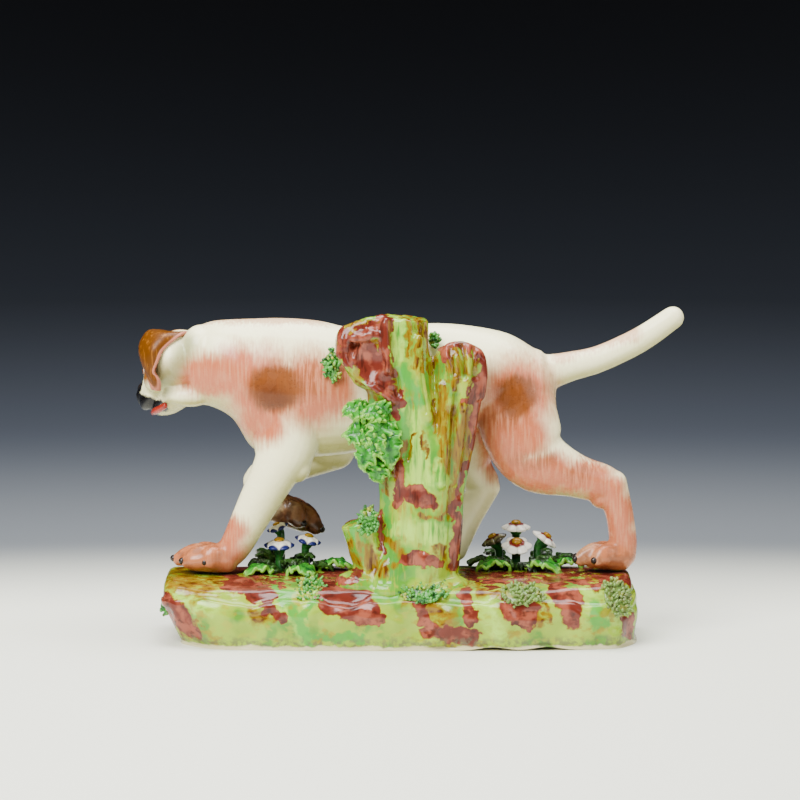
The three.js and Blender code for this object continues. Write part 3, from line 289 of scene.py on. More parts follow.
class Glaze:
    """A glazed surface, painted layer on layer. Places in it are millimetres."""

    def __init__(self, name, ground, roughness, ripple=0.04, shine=0.34):
        self.material = bpy.data.materials.new(name)
        self.material.use_nodes = True
        self.nodes = self.material.node_tree.nodes
        self.links = self.material.node_tree.links
        self.shader = self.nodes["Principled BSDF"]
        self.place = self.vector("MULTIPLY", self.coordinates("Object"), (1000, 1000, 1000))
        self.colour = srgb(*ground)
        self.roughness = roughness
        self.ripple = ripple
        self.shine = shine

    def node(self, kind, values=(), **settings):
        made = self.nodes.new(kind)
        for key, value in settings.items():
            setattr(made, key, value)
        for key, value in dict(values).items():
            if isinstance(value, bpy.types.NodeSocket):
                self.links.new(value, made.inputs[key])
            else:
                made.inputs[key].default_value = value
        return made

    def parts(self, value):
        """The X, Y and Z of a place or direction."""
        return self.node("ShaderNodeSeparateXYZ", {0: value}).outputs

    def coordinates(self, kind):
        return self.node("ShaderNodeTexCoord").outputs[kind]

    def math(self, operation, *values):
        return self.node("ShaderNodeMath", enumerate(values), operation=operation).outputs[0]

    def times(self, first, *others):
        """Masks and shares multiplied together."""
        for other in others:
            first = self.math("MULTIPLY", first, other)
        return first

    def vector(self, operation, *values):
        made = self.node("ShaderNodeVectorMath", enumerate(values), operation=operation)
        return made.outputs["Value" if operation in ("LENGTH", "DOT_PRODUCT") else "Vector"]

    def smooth(self, value, low, high):
        values = {0: value, 1: low, 2: high}
        return self.node("ShaderNodeMapRange", values, interpolation_type="SMOOTHSTEP").outputs[0]

    def clouds(self, where, scale, detail):
        return self.node("ShaderNodeTexNoise", {"Vector": where, "Scale": scale, "Detail": detail}).outputs

    def noise(self, scale, stretch=(1, 1, 1), detail=3, where=None):
        return self.clouds(self.vector("MULTIPLY", where or self.place, stretch), scale, detail)["Fac"]

    def brushed(self, sway, stretch, where=None):
        """Places pushed about by as much as sway along each axis, so that an edge wanders or feathers."""
        clouds = self.clouds(self.vector("MULTIPLY", self.place, stretch), 1.0, 4)["Color"]
        about = self.vector("SUBTRACT", clouds, (0.5, 0.5, 0.5))
        push = self.vector("MULTIPLY", about, [4 * share for share in sway])
        return self.vector("ADD", where or self.place, push)

    def blot(self, where, centre, size, soft):
        """1 inside an ellipsoid and 0 outside, with a soft edge. A size of 0 means any distance."""
        shrink = [1 / value if value else 0 for value in size]
        away = self.vector("MULTIPLY", self.vector("SUBTRACT", where, centre), shrink)
        return self.smooth(self.vector("LENGTH", away), 1 + soft, 1 - soft)

    def stroke(self, where, x, z, to_x, to_z, width, soft):
        """1 along a brush stroke from one place to another, on the front and the back alike."""
        run = (to_x - x, 0, to_z - z)
        from_start = self.vector("SUBTRACT", self.vector("MULTIPLY", where, (1, 0, 1)), (x, 0, z))
        share = self.math("DIVIDE", self.vector("DOT_PRODUCT", from_start, run), run[0] ** 2 + run[2] ** 2)
        share = self.node("ShaderNodeClamp", {0: share}).outputs[0]
        nearest = self.node("ShaderNodeVectorMath", {0: run, "Scale": share}, operation="SCALE").outputs[0]
        away = self.vector("LENGTH", self.vector("SUBTRACT", from_start, nearest))
        return self.smooth(away, width / 2 * (1 + soft), width / 2 * (1 - soft))

    def either(self, first, *others):
        """The strongest of several masks."""
        for other in others:
            first = self.math("MAXIMUM", first, other)
        return first

    def blots(self, where, patches, soft):
        """1 in any of the patches (x, z, half width, half height), whatever the depth."""
        masks = [self.blot(where, (x, 0, z), (wide, 0, tall), soft) for x, z, wide, tall in patches]
        return self.either(*masks)

    def strokes(self, where, table, soft):
        """1 along any of the strokes."""
        return self.either(*(self.stroke(where, *stroke, soft) for stroke in table))

    def layer(self, colour, *masks):
        """Paints a colour over what is there, as thickly as the masks multiplied together say."""
        values = {0: self.times(*masks), 6: self.colour, 7: srgb(*colour)}
        self.colour = self.node("ShaderNodeMix", values, data_type="RGBA").outputs[2]

    def done(self):
        self.links.new(self.colour, self.shader.inputs["Base Color"])
        self.shader.inputs["Specular IOR Level"].default_value = self.shine
        wiped = self.noise(WIPE_SCALE, detail=2)
        low, high = self.roughness
        rough = self.node("ShaderNodeMapRange", {0: wiped, 1: 0.3, 2: 0.7, 3: low, 4: high}).outputs[0]
        self.links.new(rough, self.shader.inputs["Roughness"])
        height = self.noise(RIPPLE_SCALE, detail=2)
        bump = self.node("ShaderNodeBump", {"Height": height, "Strength": self.ripple, "Distance": 1.0 * MM})
        self.links.new(bump.outputs[0], self.shader.inputs["Normal"])
        return self.material


def mottled(name, ground, cloud, scale, low, high, roughness, ripple=0.04):
    """Enamel of one colour with a second clouded into it where noise of that scale is high."""
    enamel = Glaze(name, ground, roughness, ripple)
    enamel.layer(cloud, enamel.smooth(enamel.noise(scale), low, high))
    return enamel.done()


def fire(piece, enamel, slot, *nodes):
    """Glazes a piece and sets it in the frame: it rides on the one body, and shows in place of its nodes."""
    piece.data.materials.append(enamel)
    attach(piece, "root")
    if nodes:
        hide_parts(*nodes)


SALMON_PATCHES = [  # x, z, half width, half height
    (-61, 81, 12, 7), (-52, 82, 9, 8.5), (-44, 77, 12, 12.5), (-30, 77, 11, 12), (-22, 78, 6, 10),
    (-45, 67, 8, 7), (33, 75, 12, 12), (25, 65, 6.5, 10), (33, 64, 10, 9), (29, 55, 8, 8.5),
    (41, 51.5, 12, 6.5), (53, 50, 10, 5.4), (60, 45, 7, 6), (64, 38, 6, 9), (65, 28, 9, 7), (-55, 33, 6, 5),
    (-58, 27, 9, 7), (-67, 24, 9, 6),
]
BROWN_PATCHES = [(-41, 77.6, 8, 7.2), (32.5, 75.3, 6.4, 6.2)]
WORN_BROWN = [(-32, 80, 8, 6), (38, 56, 7, 3.4), (52, 51.5, 5, 2.6), (30, 69, 6, 3), (-64, 27.5, 6, 3)]
LIPS = [  # from ahead, lift to ahead, lift, width of the brush
    (18.5, 2.2, 23.5, 0.4, 3.6), (23.5, 0.4, 27.5, 0, 4.2), (27.5, 1, 25.4, -4.6, 4.2),
    (25.4, -4.6, 21.2, -8.0, 6.2), (21.2, -8.2, 14.2, -11.4, 3.6),
]

BACK_FLUSH = ((-42, MIDLINE, ROCK_TOP + 78), (34, 7, 2.6))  # middle, half sizes
TAIL_FLUSH = (46, ROCK_TOP + 67, 68, ROCK_TOP + 73.5, 5)
BROWN_CORE = [(-41.5, 74.6, 5, 4)]
FAR_PAW = ((-32.5, MIDLINE + 11, 34.5), (11.5, 9, 10))
NEAR_FORE_PAW = ((-68, MIDLINE - 8, ROCK_TOP + 3), (16, 9, 7.5))
NEAR_HIND_PAW = ((59, MIDLINE - 5, ROCK_TOP + 3), (13, 9, 7))
EAR_SHADOW = (-67.6, 90.5, -75, 76.5, 5.4)
CROWN = ((3.5, 0, 9), (8, 12, 4.5))  # on the head: ahead, aside, lift
CHEEK = (10, 7.5, 1)
CHEEK_SIZE = (6.5, 4, 6)
SNOUT = ((30.6, 0, 0), (4, 6, 5))

skin = Glaze("painted_porcelain", (246, 240, 192), (0.2, 0.32))
upward = skin.parts(skin.node("ShaderNodeNewGeometry").outputs["Normal"])["Z"]
skin.layer((168, 163, 100), skin.smooth(upward, 0.12, -0.8), 0.95)  # painted shade: warm greenish dark on the faces that turn down
hairs = skin.noise(1.0, (1.7, 0.7, 0.12), 3)
wandering = skin.brushed((1.0, 0, 1.0), (0.16, 0.16, 0.16))
feathered = skin.brushed((0.4, 0, 1.3), (1.5, 0.6, 0.12), wandering)
back_flush = skin.times(skin.blot(feathered, *BACK_FLUSH, 0.4), 0.55)
tail_flush = skin.times(skin.stroke(feathered, *TAIL_FLUSH, 0.7), 0.6)
thin = skin.node("ShaderNodeMapRange", {0: hairs, 1: 0.34, 2: 0.55, 3: 0.9, 4: 1}).outputs[0]
salmon = skin.times(skin.blots(feathered, SALMON_PATCHES, 0.42), thin)
salmon = skin.either(salmon, back_flush, tail_flush)
skin.layer((180, 98, 65), salmon)
skin.layer((164, 90, 62), salmon, skin.smooth(hairs, 0.48, 0.66), 0.22)
brown = skin.blots(feathered, BROWN_PATCHES, 0.3)
skin.layer((114, 60, 22), brown, thin)
worn = skin.blots(feathered, WORN_BROWN, 0.6)
skin.layer((132, 78, 44), worn, skin.smooth(hairs, 0.4, 0.6), 0.7)
skin.layer((84, 42, 20), skin.blots(feathered, BROWN_CORE, 0.6), 0.7)
speck = skin.smooth(skin.noise(1.5, detail=2), 0.6, 0.7)
skin.layer((72, 38, 18), speck, brown, 0.5)

far_paw = skin.blot(wandering, *FAR_PAW, 0.2)
skin.layer((116, 72, 48), far_paw)
skin.layer((70, 40, 22), far_paw, skin.smooth(skin.noise(0.22), 0.42, 0.6))
near_paws = skin.either(*(skin.blot(skin.place, *spot, 0.35) for spot in (NEAR_FORE_PAW, NEAR_HIND_PAW)))
skin.layer((168, 100, 62), near_paws, 0.9)
skin.layer((124, 68, 36), near_paws, skin.smooth(skin.noise(0.35), 0.45, 0.6), 0.7)

from_nape = skin.vector("SUBTRACT", skin.place, NAPE)
axes = {"X": MUZZLEWARD, "Y": LEFTWARD, "Z": CROWNWARD}
spread = {axis: skin.vector("DOT_PRODUCT", from_nape, way) for axis, way in axes.items()}
head_place = skin.node("ShaderNodeCombineXYZ", spread).outputs[0]
ahead, aside, lift = CHEEK
cheeks = [skin.blot(head_place, (ahead, side * aside, lift), CHEEK_SIZE, 0.3) for side in (1, -1)]
skin.layer((132, 78, 24), skin.either(skin.blot(head_place, *CROWN, 0.2), *cheeks))
near_side = skin.smooth(skin.parts(skin.place)["Y"], 8, 3)
skin.layer((122, 128, 84), skin.stroke(skin.place, *EAR_SHADOW, 0.8), near_side, 0.75)
smudged = skin.brushed((0.35, 0.35, 0.35), (0.8, 0.8, 0.8), head_place)
mouth = skin.either(skin.strokes(smudged, LIPS, 0.2), skin.blot(head_place, *SNOUT, 0.25))
skin.layer((12, 10, 10), mouth)
legs = ("near_foreleg", "far_foreleg", "near_hind_leg", "far_hind_leg")
fire(dog, skin.done(), "white_porcelain", "dog_body", "dog_head", "lower_jaw", "tail", *legs)

# Nails: a dot of thick black enamel on the tip of each toe. They are painted on, so they are a skin on the
# paws and stand in for no node of their own.
NAIL = (1.2, 1.15, 1.1)
forms = bmesh.new()
for tip, forward, rise in nails:
    lump(forms, tip, NAIL, Matrix((forward, forward.cross(rise), rise)).transposed().to_4x4())
black = mottled("black_enamel", (30, 24, 22), (70, 50, 42), 0.9, 0.55, 0.75, (0.12, 0.25))
fire(to_piece("nails", forms), black, "white_porcelain")

# Eyes: the balls are modelled in the sockets of the head and painted with a brown iris and a black pupil.
# Both face the hidden side, so they are a plain hound's eyes.
EYE = (15.3, 4.7, 1.2)  # ahead, aside, lift
EYE_RADIUS = 1.75
EYE_LOOK = (0.9, 1.35, 0.35)  # from the middle of the ball to the middle of the pupil
IRIS = 1.35
PUPIL = 0.8
forms = bmesh.new()
for side in (1, -1):
    lump(forms, on_head(EYE[0], side * EYE[1], EYE[2]), (EYE_RADIUS,) * 3)
eye_enamel = Glaze("eye_enamel", (232, 228, 214), (0.06, 0.1), 0)
ahead, aside, lift = (at + look for at, look in zip(EYE, EYE_LOOK))
looks = [on_head(ahead, side * aside, lift) for side in (1, -1)]
for colour, radius in (((128, 74, 34), IRIS), ((18, 14, 12), PUPIL)):
    rounds = [eye_enamel.blot(eye_enamel.place, look, (radius,) * 3, 0.12) for look in looks]
    eye_enamel.layer(colour, eye_enamel.either(*rounds))
fire(to_piece("eyes", forms), eye_enamel.done(), "white_porcelain")

# Nose: the leather of the nose with its two nostrils, modelled on the end of the muzzle and painted over in
# the same black as the nails.
NOSE = (27.6, 0, 1.2)
forms = bmesh.new()
lump(forms, on_head(*NOSE), (1.9, 2.5, 2.2), head_turn)
for side in (1, -1):
    lump(forms, on_head(NOSE[0] + 0.5, side * 1.2, NOSE[2] + 0.1), (1.5, 1.1, 1.3), head_turn)
fire(fuse(to_piece("nose", forms), voxel=0.3 * MM, rounds=3), black, "white_porcelain")

# Tongue: a flat strip of clay laid between the lips, which hangs over the lower one on the left. It is
# painted red.
TONGUE = [  # ahead, aside, lift, half thickness, half width
    (11.4, 4.9, -12.8, 0.8, 1.0), (15.0, 5.0, -12.1, 0.9, 1.1), (18.2, 4.7, -11.2, 0.9, 1.1),
    (20.8, 4.0, -10.4, 0.7, 0.8),
]
forms = bmesh.new()
run = [(*on_head(ahead, aside, lift), thick, wide) for ahead, aside, lift, thick, wide in TONGUE]
oval_tube(forms, run, across=LEFTWARD, start=0.8, end=0.9)
tongue_red = mottled("tongue_red", (150, 42, 28), (104, 26, 20), 0.6, 0.45, 0.7, (0.1, 0.2))
fire(to_piece("tongue_strip", forms), tongue_red, "tongue_enamel", "tongue")

# Ears: thin flaps, pressed by themselves and luted across the back of the crown, that wrap the cheek and
# fall. The rear edge is a raised rim, and the pleated tip turns out so that its paler inside shows.
EAR = [  # height, then (x, y) of the rear edge, the back, the outer side and the front edge
    (92.5, (-66.4, 8.4), (-69.8, 8.6), (-73.4, 10.2), (-75.2, 13.0)),
    (93.0, (-67.4, 4.6), (-73.4, 2.6), (-78.4, 5.6), (-79.4, 11.0)),
    (91.8, (-70.4, 1.8), (-75.6, 0.4), (-80.2, 4.2), (-81.2, 11.0)),
    (88.6, (-74.4, 0.0), (-78.0, -0.8), (-81.8, 3.4), (-82.8, 10.6)),
    (84.8, (-76.2, -0.6), (-78.6, -0.8), (-81.4, 2.6), (-82.4, 9.6)),
    (81.6, (-77.4, -0.4), (-78.8, -0.4), (-80.2, 2.4), (-81.0, 8.0)),
    (78.6, (-75.6, 0.0), (-77.2, -1.0), (-78.9, 1.4), (-79.8, 5.4)),
    (75.8, (-75.9, 1.2), (-76.8, 0.4), (-77.8, 1.6), (-78.7, 4.4)),
]
FAR_EAR_DROP = 2.6
EAR_THICKNESS = 1.3
EAR_SEGMENTS = (30, 22)
EAR_PLEATS = 3
EAR_PLEAT = 0.5
EAR_RIM = 0.9  # how far the rear rim stands up
EAR_OUTWARD = Vector((-0.75, -0.65, 0))
EAR_TURNED_OUT = 0.73  # share of the length where the tip starts to turn out


def sheet(bm, segments):
    """Flat grid from -1 to 1 with its own UV map, to be bent into a leaf or a flap."""
    uv = bm.loops.layers.uv.new("UVMap")
    along, across = segments
    grid = bmesh.ops.create_grid(bm, x_segments=along, y_segments=across, size=1, calc_uvs=False)["verts"]
    for face in bm.faces:
        for loop in face.loops:
            loop[uv].uv = ((loop.vert.co.x + 1) / 2, (loop.vert.co.y + 1) / 2)
    return grid


def thicken(piece, thickness):
    """Gives a sheet its wall and rounds its edges."""
    wall = piece.modifiers.new("wall", "SOLIDIFY")
    wall.thickness = thickness * MM
    wall.offset = 0
    soft = piece.modifiers.new("soft", "SUBSURF")
    soft.levels = soft.render_levels = 1


def between(run, share):
    """Place at a share of the way through a smooth run of points."""
    spot = share * (len(run) - 1)
    lower = min(int(spot), len(run) - 2)
    return Vector(run[lower]).lerp(Vector(run[lower + 1]), spot - lower)


def ear_flap(name, mirrored):
    bm = bmesh.new()
    columns = [smooth_run([(*row[column], row[0]) for row in EAR], 8) for column in range(1, 5)]
    for vert in sheet(bm, EAR_SEGMENTS):
        along, across = (vert.co.x + 1) / 2, (vert.co.y + 1) / 2
        row = smooth_run([tuple(between(column, along)) for column in columns], 8)
        place = between(row, across)
        rim = EAR_RIM * math.exp(-(((across - 0.05) / 0.07) ** 2))
        turned_out = max(0, along - EAR_TURNED_OUT) / (1 - EAR_TURNED_OUT)
        pleat = EAR_PLEAT * math.sin(2 * math.pi * EAR_PLEATS * across) * turned_out
        vert.co = place + EAR_OUTWARD * (rim + pleat)
    if mirrored:
        for vert in bm.verts:
            vert.co -= 2 * (vert.co - NAPE).dot(LEFTWARD) * LEFTWARD
            vert.co.z -= FAR_EAR_DROP
    piece = to_piece(name, bm)
    thicken(piece, EAR_THICKNESS)
    return piece


coat = Glaze("ear_brown", (88, 48, 5), (0.26, 0.42), shine=0.18)
ear_map = coat.parts(coat.coordinates("UV"))
streaks = coat.noise(1.0, (1.2, 1.2, 0.16), 3)
coat.layer((88, 48, 12), coat.smooth(streaks, 0.46, 0.7), 0.6)
coat.layer((146, 90, 26), coat.smooth(streaks, 0.48, 0.3), 0.7)
rear_rim = coat.smooth(ear_map["Y"], 0.12, 0.07)
off_middle = coat.math("ABSOLUTE", coat.math("SUBTRACT", ear_map["Y"], 0.5))
fold = coat.times(coat.smooth(off_middle, 0.3, 0.1), 0.16)
unfolded = coat.math("SUBTRACT", ear_map["X"], fold)
inside = coat.smooth(unfolded, EAR_TURNED_OUT, EAR_TURNED_OUT + 0.07)
coat.layer((166, 104, 84), coat.either(rear_rim, inside))
ear_brown = coat.done()
for name, mirrored in (("near_ear", False), ("far_ear", True)):
    fire(ear_flap(name + "_flap", mirrored), ear_brown, "brown_enamel", name)

# Tree stump: clay rolled and modelled by hand into a fluted trunk that holds up the body, with a knuckled
# side bough, a broken knot with a dished face, and a short cut stub. One glaze covers them all.
WOOD_MIDDLE = -13.5
STUMP = [  # x, back, height, half width, half depth
    (-0.5, 2, -3, 18, 12), (-0.3, 1.5, 2, 15.4, 11.2), (2.2, 0.5, 8, 13, 9.8), (3.6, 0, 22, 12.6, 9.2),
    (3.6, 0, 38, 13.4, 9), (0, 0, 52, 12.6, 9), (-3, -0.5, 66, 9.6, 8.5), (-2.3, -0.5, 79.7, 8.1, 7.6),
]
BOUGH = [
    (8.6, -0.5, 30, 8.4, 7.6), (11.4, -0.8, 46, 8.6, 7.6), (13.6, -1.1, 57, 8.3, 7.6),
    (15, -1.5, 65, 8.2, 7.8), (15.2, -1.5, 69, 7.0, 6.8),
]
KNOT = [(-4, -0.5, 62, 8, 8), (-11, -1.2, 67.5, 9.4, 8.6), (-15.6, -2.2, 70.4, 7.4, 7.4)]
STUB = [(-7, 0.5, -2, 6.8, 6.4), (-11.8, -0.5, 8, 6, 6), (-15.2, -1, 18, 5.8, 5.8)]
SWELLINGS = [  # x, back, height, radii: lobes of the knot and the bough, and the roots
    (-11, -1, 74, 7.5, 7, 4.4), (-15.4, -8.6, 74.2, 3.0, 1.8, 1.8), (-11.4, -8.8, 75.0, 2.4, 1.8, 2.0),
    (-19.8, -4.5, 71.6, 2.6, 4.4, 5.6), (11.2, -6.6, 67.6, 2.2, 2.8, 4.0),
    (16.4, -7.6, 66.4, 1.4, 2.2, 4.6), (19.2, -7.0, 65.8, 1.3, 2.2, 4.6), (-15, -2, -1, 8, 7, 4),
    (13.5, -1, -2.4, 5, 7, 3.6), (-6, -6, -2.6, 8, 5, 3.6), (9.5, -6, -3, 5, 4.4, 3.2),
]
RIDGES = [  # (x, back, height) along each ridge of the bark, and its half thickness
    ([(-20.6, -7.2, 69), (-17.2, -8.4, 64.6), (-10.5, -9, 59.2), (-5, -9, 55.6)], 1.5),
    ([(-19.4, -5.5, 75.6), (-14.5, -6.5, 77.8), (-8.4, -6.5, 79.2)], 1.9),
    ([(-20.6, -6.5, 74), (-20.8, -7, 69)], 1.6),
    ([(-7.2, -8.6, 78.6), (-7.1, -9.2, 72), (-6.3, -9.4, 65)], 1.9),
    ([(9.6, -5, 67.4), (12.4, -5.6, 70.6), (16.4, -5.4, 70.8)], 2.2),
    ([(16.8, -5.4, 70.4), (20.2, -4.8, 68.4), (21.4, -4.2, 64), (20.6, -4.2, 56.5)], 2.3),
    ([(13.4, -8.6, 68), (13, -9, 62), (12.4, -8.8, 54)], 1.2),
    ([(17.2, -8.4, 67.4), (17, -8.6, 61), (16.2, -8.6, 53)], 1.2),
    ([(2.8, -8.4, 74), (3.4, -8.8, 62), (6, -9, 50)], 1.4),
    ([(9.5, -8, 60), (10.5, -8.8, 46), (9.5, -9.6, 30)], 1.5),
]
TOOL_MARK = 0.3  # how deep the tool's strokes are
KNOT_DISH = (-13.2, -11.8, 66.6, 6.4, 4.6, 7.4)  # x, back, height, half width, depth, half height
BARK_GROOVES = [  # (x, z) along each groove, half width, depth: the fork, the lobes of the bough, the grain
    ([(9.0, 92.5), (8.2, 82), (7.8, 70)], 2.4, 1.0), ([(12.0, 91.5), (13.4, 83.5)], 0.9, 1.5),
    ([(15.6, 92.4), (16.4, 83)], 1.0, 1.8), ([(19.4, 91.4), (19.8, 82.5)], 0.9, 1.5),
    ([(-5.4, 99.4), (-4.6, 86), (-3.4, 77)], 0.9, 1.2), ([(4.6, 99.4), (3.6, 86), (4.8, 72)], 0.9, 1.0),
    ([(13.8, 77), (12.8, 54), (12.2, 40)], 1.0, 1.1), ([(18.2, 77), (17.2, 60), (15.6, 46)], 0.9, 1.0),
    ([(0.6, 74), (-1, 58)], 1.1, 0.9), ([(-12, 33), (-10.6, 24)], 1.1, 1.0), ([(5, 44), (4, 30)], 1.2, 0.7),
]


def flutes(angle, place):
    """Seven broad flutes with finer ones between them, which wind a little on their way up."""
    return 1 + 0.045 * math.cos(7 * angle + 1.2 * place) + 0.02 * math.cos(15 * angle - 3 * place)


def away_from(line, x, z):
    """Distance from a place to a line of (x, z) points."""
    spot, nearest = Vector((x, z)), math.inf
    for start, end in zip(line, line[1:]):
        run = Vector(end) - Vector(start)
        share = min(1, max(0, (spot - Vector(start)).dot(run) / run.length_squared))
        nearest = min(nearest, (spot - Vector(start) - run * share).length)
    return nearest


forms = bmesh.new()
for limb, sides, end in ((STUMP, 60, 0), (BOUGH, 48, 3), (KNOT, 40, 1.6), (STUB, 36, 0)):
    oval_tube(forms, on_rock(limb, WOOD_MIDDLE), across=(1, 0, 0), sides=sides, end=end, ripple=flutes)
for x, behind, height, *radii in SWELLINGS:
    lump(forms, (x, WOOD_MIDDLE + behind, ROCK_TOP + height), radii)
for places, thick in RIDGES:
    ridge = [(x, WOOD_MIDDLE + behind, ROCK_TOP + height, thick, thick) for x, behind, height in places]
    oval_tube(forms, ridge, across=(0.3, 0.3, 1), start=thick, end=thick, sides=12, steps=4)
wood = fuse(to_piece("wood", forms), voxel=0.6 * MM, rounds=3)
bm = bmesh.new()
bm.from_mesh(wood.data)
middle, behind, height, wide, deep, tall = KNOT_DISH
for vert in bm.verts:  # the dish is scooped out of the front of the knot
    x, y, z = vert.co / MM
    left = 1 - ((x - middle) / wide) ** 2 - ((z - ROCK_TOP - height) / tall) ** 2
    if left > 0 and y < 0:
        vert.co.y = max(y, WOOD_MIDDLE + behind + deep * math.sqrt(left)) * MM
bm.to_mesh(wood.data)
bm.free()
wood = fuse(wood, voxel=0.5 * MM, rounds=7)
bm = bmesh.new()
bm.from_mesh(wood.data)
groove_depth = bm.verts.layers.float.new("groove")
for vert in bm.verts:  # grooves drawn in the front, and shallow strokes of the tool along the grain
    x, y, z = vert.co / MM
    stroke = noise.noise(Vector((x * 0.42, y * 0.42, z * 0.06))) + 0.5 * noise.noise(Vector((x, y, z * 0.14)))
    cut = 0
    if y < WOOD_MIDDLE:
        for line, wide, deep in BARK_GROOVES:
            cut = max(cut, deep * math.exp(-((away_from(line, x, z) / wide) ** 2)))
    vert[groove_depth] = cut
    vert.co += vert.normal * (stroke * TOOL_MARK * (1 - min(1, cut)) - cut * max(0, -vert.normal.y)) * MM
bm.to_mesh(wood.data)
bm.free()

RED_ON_WOOD = [  # from x, z to x, z, width of the brush
    (-20.8, 95.5, -19.5, 87, 3.2), (-17, 95, -10, 95.6, 4.4), (-16, 90.5, -9, 82.5, 8.6),
    (-7.8, 99.5, -7.4, 84, 3.4), (-6.8, 78, -2, 75, 3.4), (-5.4, 76, -4.6, 70.8, 2.8),
    (-3.2, 56, -1.8, 50, 4), (-3, 49.5, -3, 44, 2.6), (-1.5, 47, 5.5, 44.5, 5), (9.6, 89.5, 12.5, 92, 2.6),
    (12.5, 92, 19, 91.4, 2.6), (19, 91.4, 22.6, 87, 3.4), (22.6, 87, 22.4, 79, 4.6),
    (22, 80, 20.4, 74, 5.2), (19.6, 75.6, 15.8, 75.2, 2.4), (19, 73, 19.4, 60, 2.4),
    (15, 25, 19, 20.6, 3.4), (-8, 99.4, -14, 97, 1.4), (17, 55, 13.8, 43, 2.8), (13.6, 43, 15, 37, 3.0),
    (15, 37, 13.8, 25, 4.0), (-1, 27, 7, 26, 4), (-9, 40, -8.6, 30, 2), (-24, 21, -16, 22, 3),
]
OCHRE_ON_WOOD = [
    (-19, 98, -10, 98.6, 2), (-10, 98.8, -7, 100.5, 1.6), (-3, 101, 5, 101, 1.6), (-0.6, 100, 0.2, 88, 1.6),
    (2.4, 100, 2.8, 86, 2), (5.4, 99, 5.8, 84, 1.4), (10, 90, 12, 84, 2.2), (12, 88, 13, 80, 2.6),
    (-17.8, 78, -14, 74, 2), (12, 72, 11.5, 54, 3.0), (15.5, 74, 14.8, 58, 3.6), (18.4, 73, 17.4, 56, 3.0),
    (8, 76, 8.6, 66, 1.6), (4, 66, 5, 58, 1.2), (1, 66, 0, 58, 1.4), (-13, 30, -10, 24, 3),
    (-11, 27, -4, 25.5, 2.4), (-8, 56, -7, 46, 1.4), (-17, 32, -18.5, 26, 2), (3, 40, 10, 38.6, 1.6),
    (-17, 92, -9, 92, 1.2), (-16, 80, -9, 74, 1.8), (13, 50, 11, 40, 2.2), (-2, 62, -4, 57, 2),
    (13.6, 90, 14.6, 83, 2.4), (17.4, 90, 18, 83, 2.2), (10, 80, 9.8, 60, 2.2), (16.8, 70, 14, 48, 4.4),
    (6.4, 96, 6.8, 86, 1.8), (-8, 33, -2, 29, 2.6), (-17, 27, -8, 22.5, 4), (9, 31, 12, 24, 2.4),
]
PALE_ON_WOOD = [
    (-4, 100, -3.6, 88, 4.6), (1, 72, 4, 50, 6), (-3, 36, 9, 34, 5.5), (-6, 66, -3, 62, 5),
    (12, 66, 10, 50, 4),
]
BRIGHT_ON_WOOD = [
    (-14, 76, -9, 70, 4), (-1, 84, 2, 76, 4), (-4, 70, -1, 60, 4.4), (-17, 37, -14, 31, 3),
    (-7, 44, -6, 38, 2.4),
]


def dapple(glaze, red_strokes, ochre_strokes, pale_strokes, bright_strokes, grain, turned):
    """Apple-green ground, washed paler and deeper, with ochre and iron red brushed over it. Where the glaze
    is turned from the viewer, red patches lie at random."""
    pooled = glaze.noise(0.11, (1, 1, 0.8), 3)
    streak = glaze.noise(1.0, grain, 4)
    wander = glaze.brushed((2.1, 0, 2.1), (0.16, 0.16, 0.16))
    wander = glaze.brushed((0.8, 0, 0.8), (0.45, 0.45, 0.45), wander)
    glaze.layer((142, 168, 44), glaze.smooth(pooled, 0.47, 0.6))
    glaze.layer((60, 126, 40), glaze.smooth(pooled, 0.47, 0.36), 0.75)
    glaze.layer((156, 158, 40), glaze.smooth(streak, 0.52, 0.66), 0.6)
    pale = glaze.strokes(wander, pale_strokes, 0.5)
    glaze.layer((158, 196, 66), pale, glaze.smooth(streak, 0.3, 0.56))
    glaze.layer((58, 146, 44), glaze.strokes(wander, bright_strokes, 0.4), 0.85)
    stained = glaze.smooth(glaze.noise(0.1, detail=4, where=wander), 0.5, 0.62)
    glaze.layer((136, 112, 12), stained, 0.75, glaze.smooth(streak, 0.46, 0.6))
    ochre = glaze.times(glaze.strokes(wander, ochre_strokes, 0.6), glaze.smooth(streak, 0.26, 0.48))
    glaze.layer((124, 94, 8), ochre)
    glaze.layer((78, 42, 12), ochre, glaze.smooth(streak, 0.5, 0.66))
    painted = glaze.strokes(wander, red_strokes, 0.3)
    at_random = glaze.smooth(glaze.noise(0.075, detail=4, where=wander), 0.53, 0.6)
    red = glaze.node("ShaderNodeMix", {0: turned, 2: painted, 3: at_random}, data_type="FLOAT").outputs[0]
    full = glaze.smooth(red, 0.4, 0.9)
    glaze.layer((124, 84, 16), glaze.smooth(red, 0.02, 0.4), 0.8)  # ochre shows at the edge of the red
    glaze.layer((96, 36, 26), glaze.smooth(red, 0.38, 0.6))
    glaze.layer((156, 82, 60), full, glaze.smooth(glaze.noise(0.22, detail=3), 0.44, 0.62), 0.7)
    glaze.layer((56, 22, 16), full, glaze.smooth(streak, 0.48, 0.34), 0.75)


bark = Glaze("bark_glaze", (90, 148, 34), (0.08, 0.18), 0.1)
turned = bark.smooth(bark.parts(bark.place)["Y"], -14, -10)
dapple(bark, RED_ON_WOOD, OCHRE_ON_WOOD, PALE_ON_WOOD, BRIGHT_ON_WOOD, (0.8, 0.8, 0.12), turned)
# Painted shade in the cut grooves: brown, as strong as the grooves are deep.
in_groove = bark.node("ShaderNodeAttribute", attribute_name="groove").outputs["Fac"]
bark.layer((84, 56, 12), bark.smooth(in_groove, 0.5, 1.7), 0.6)
fire(wood, bark.done(), "bark_glaze", "tree_stump", "side_bough", "cut_knot", "branch_stub")

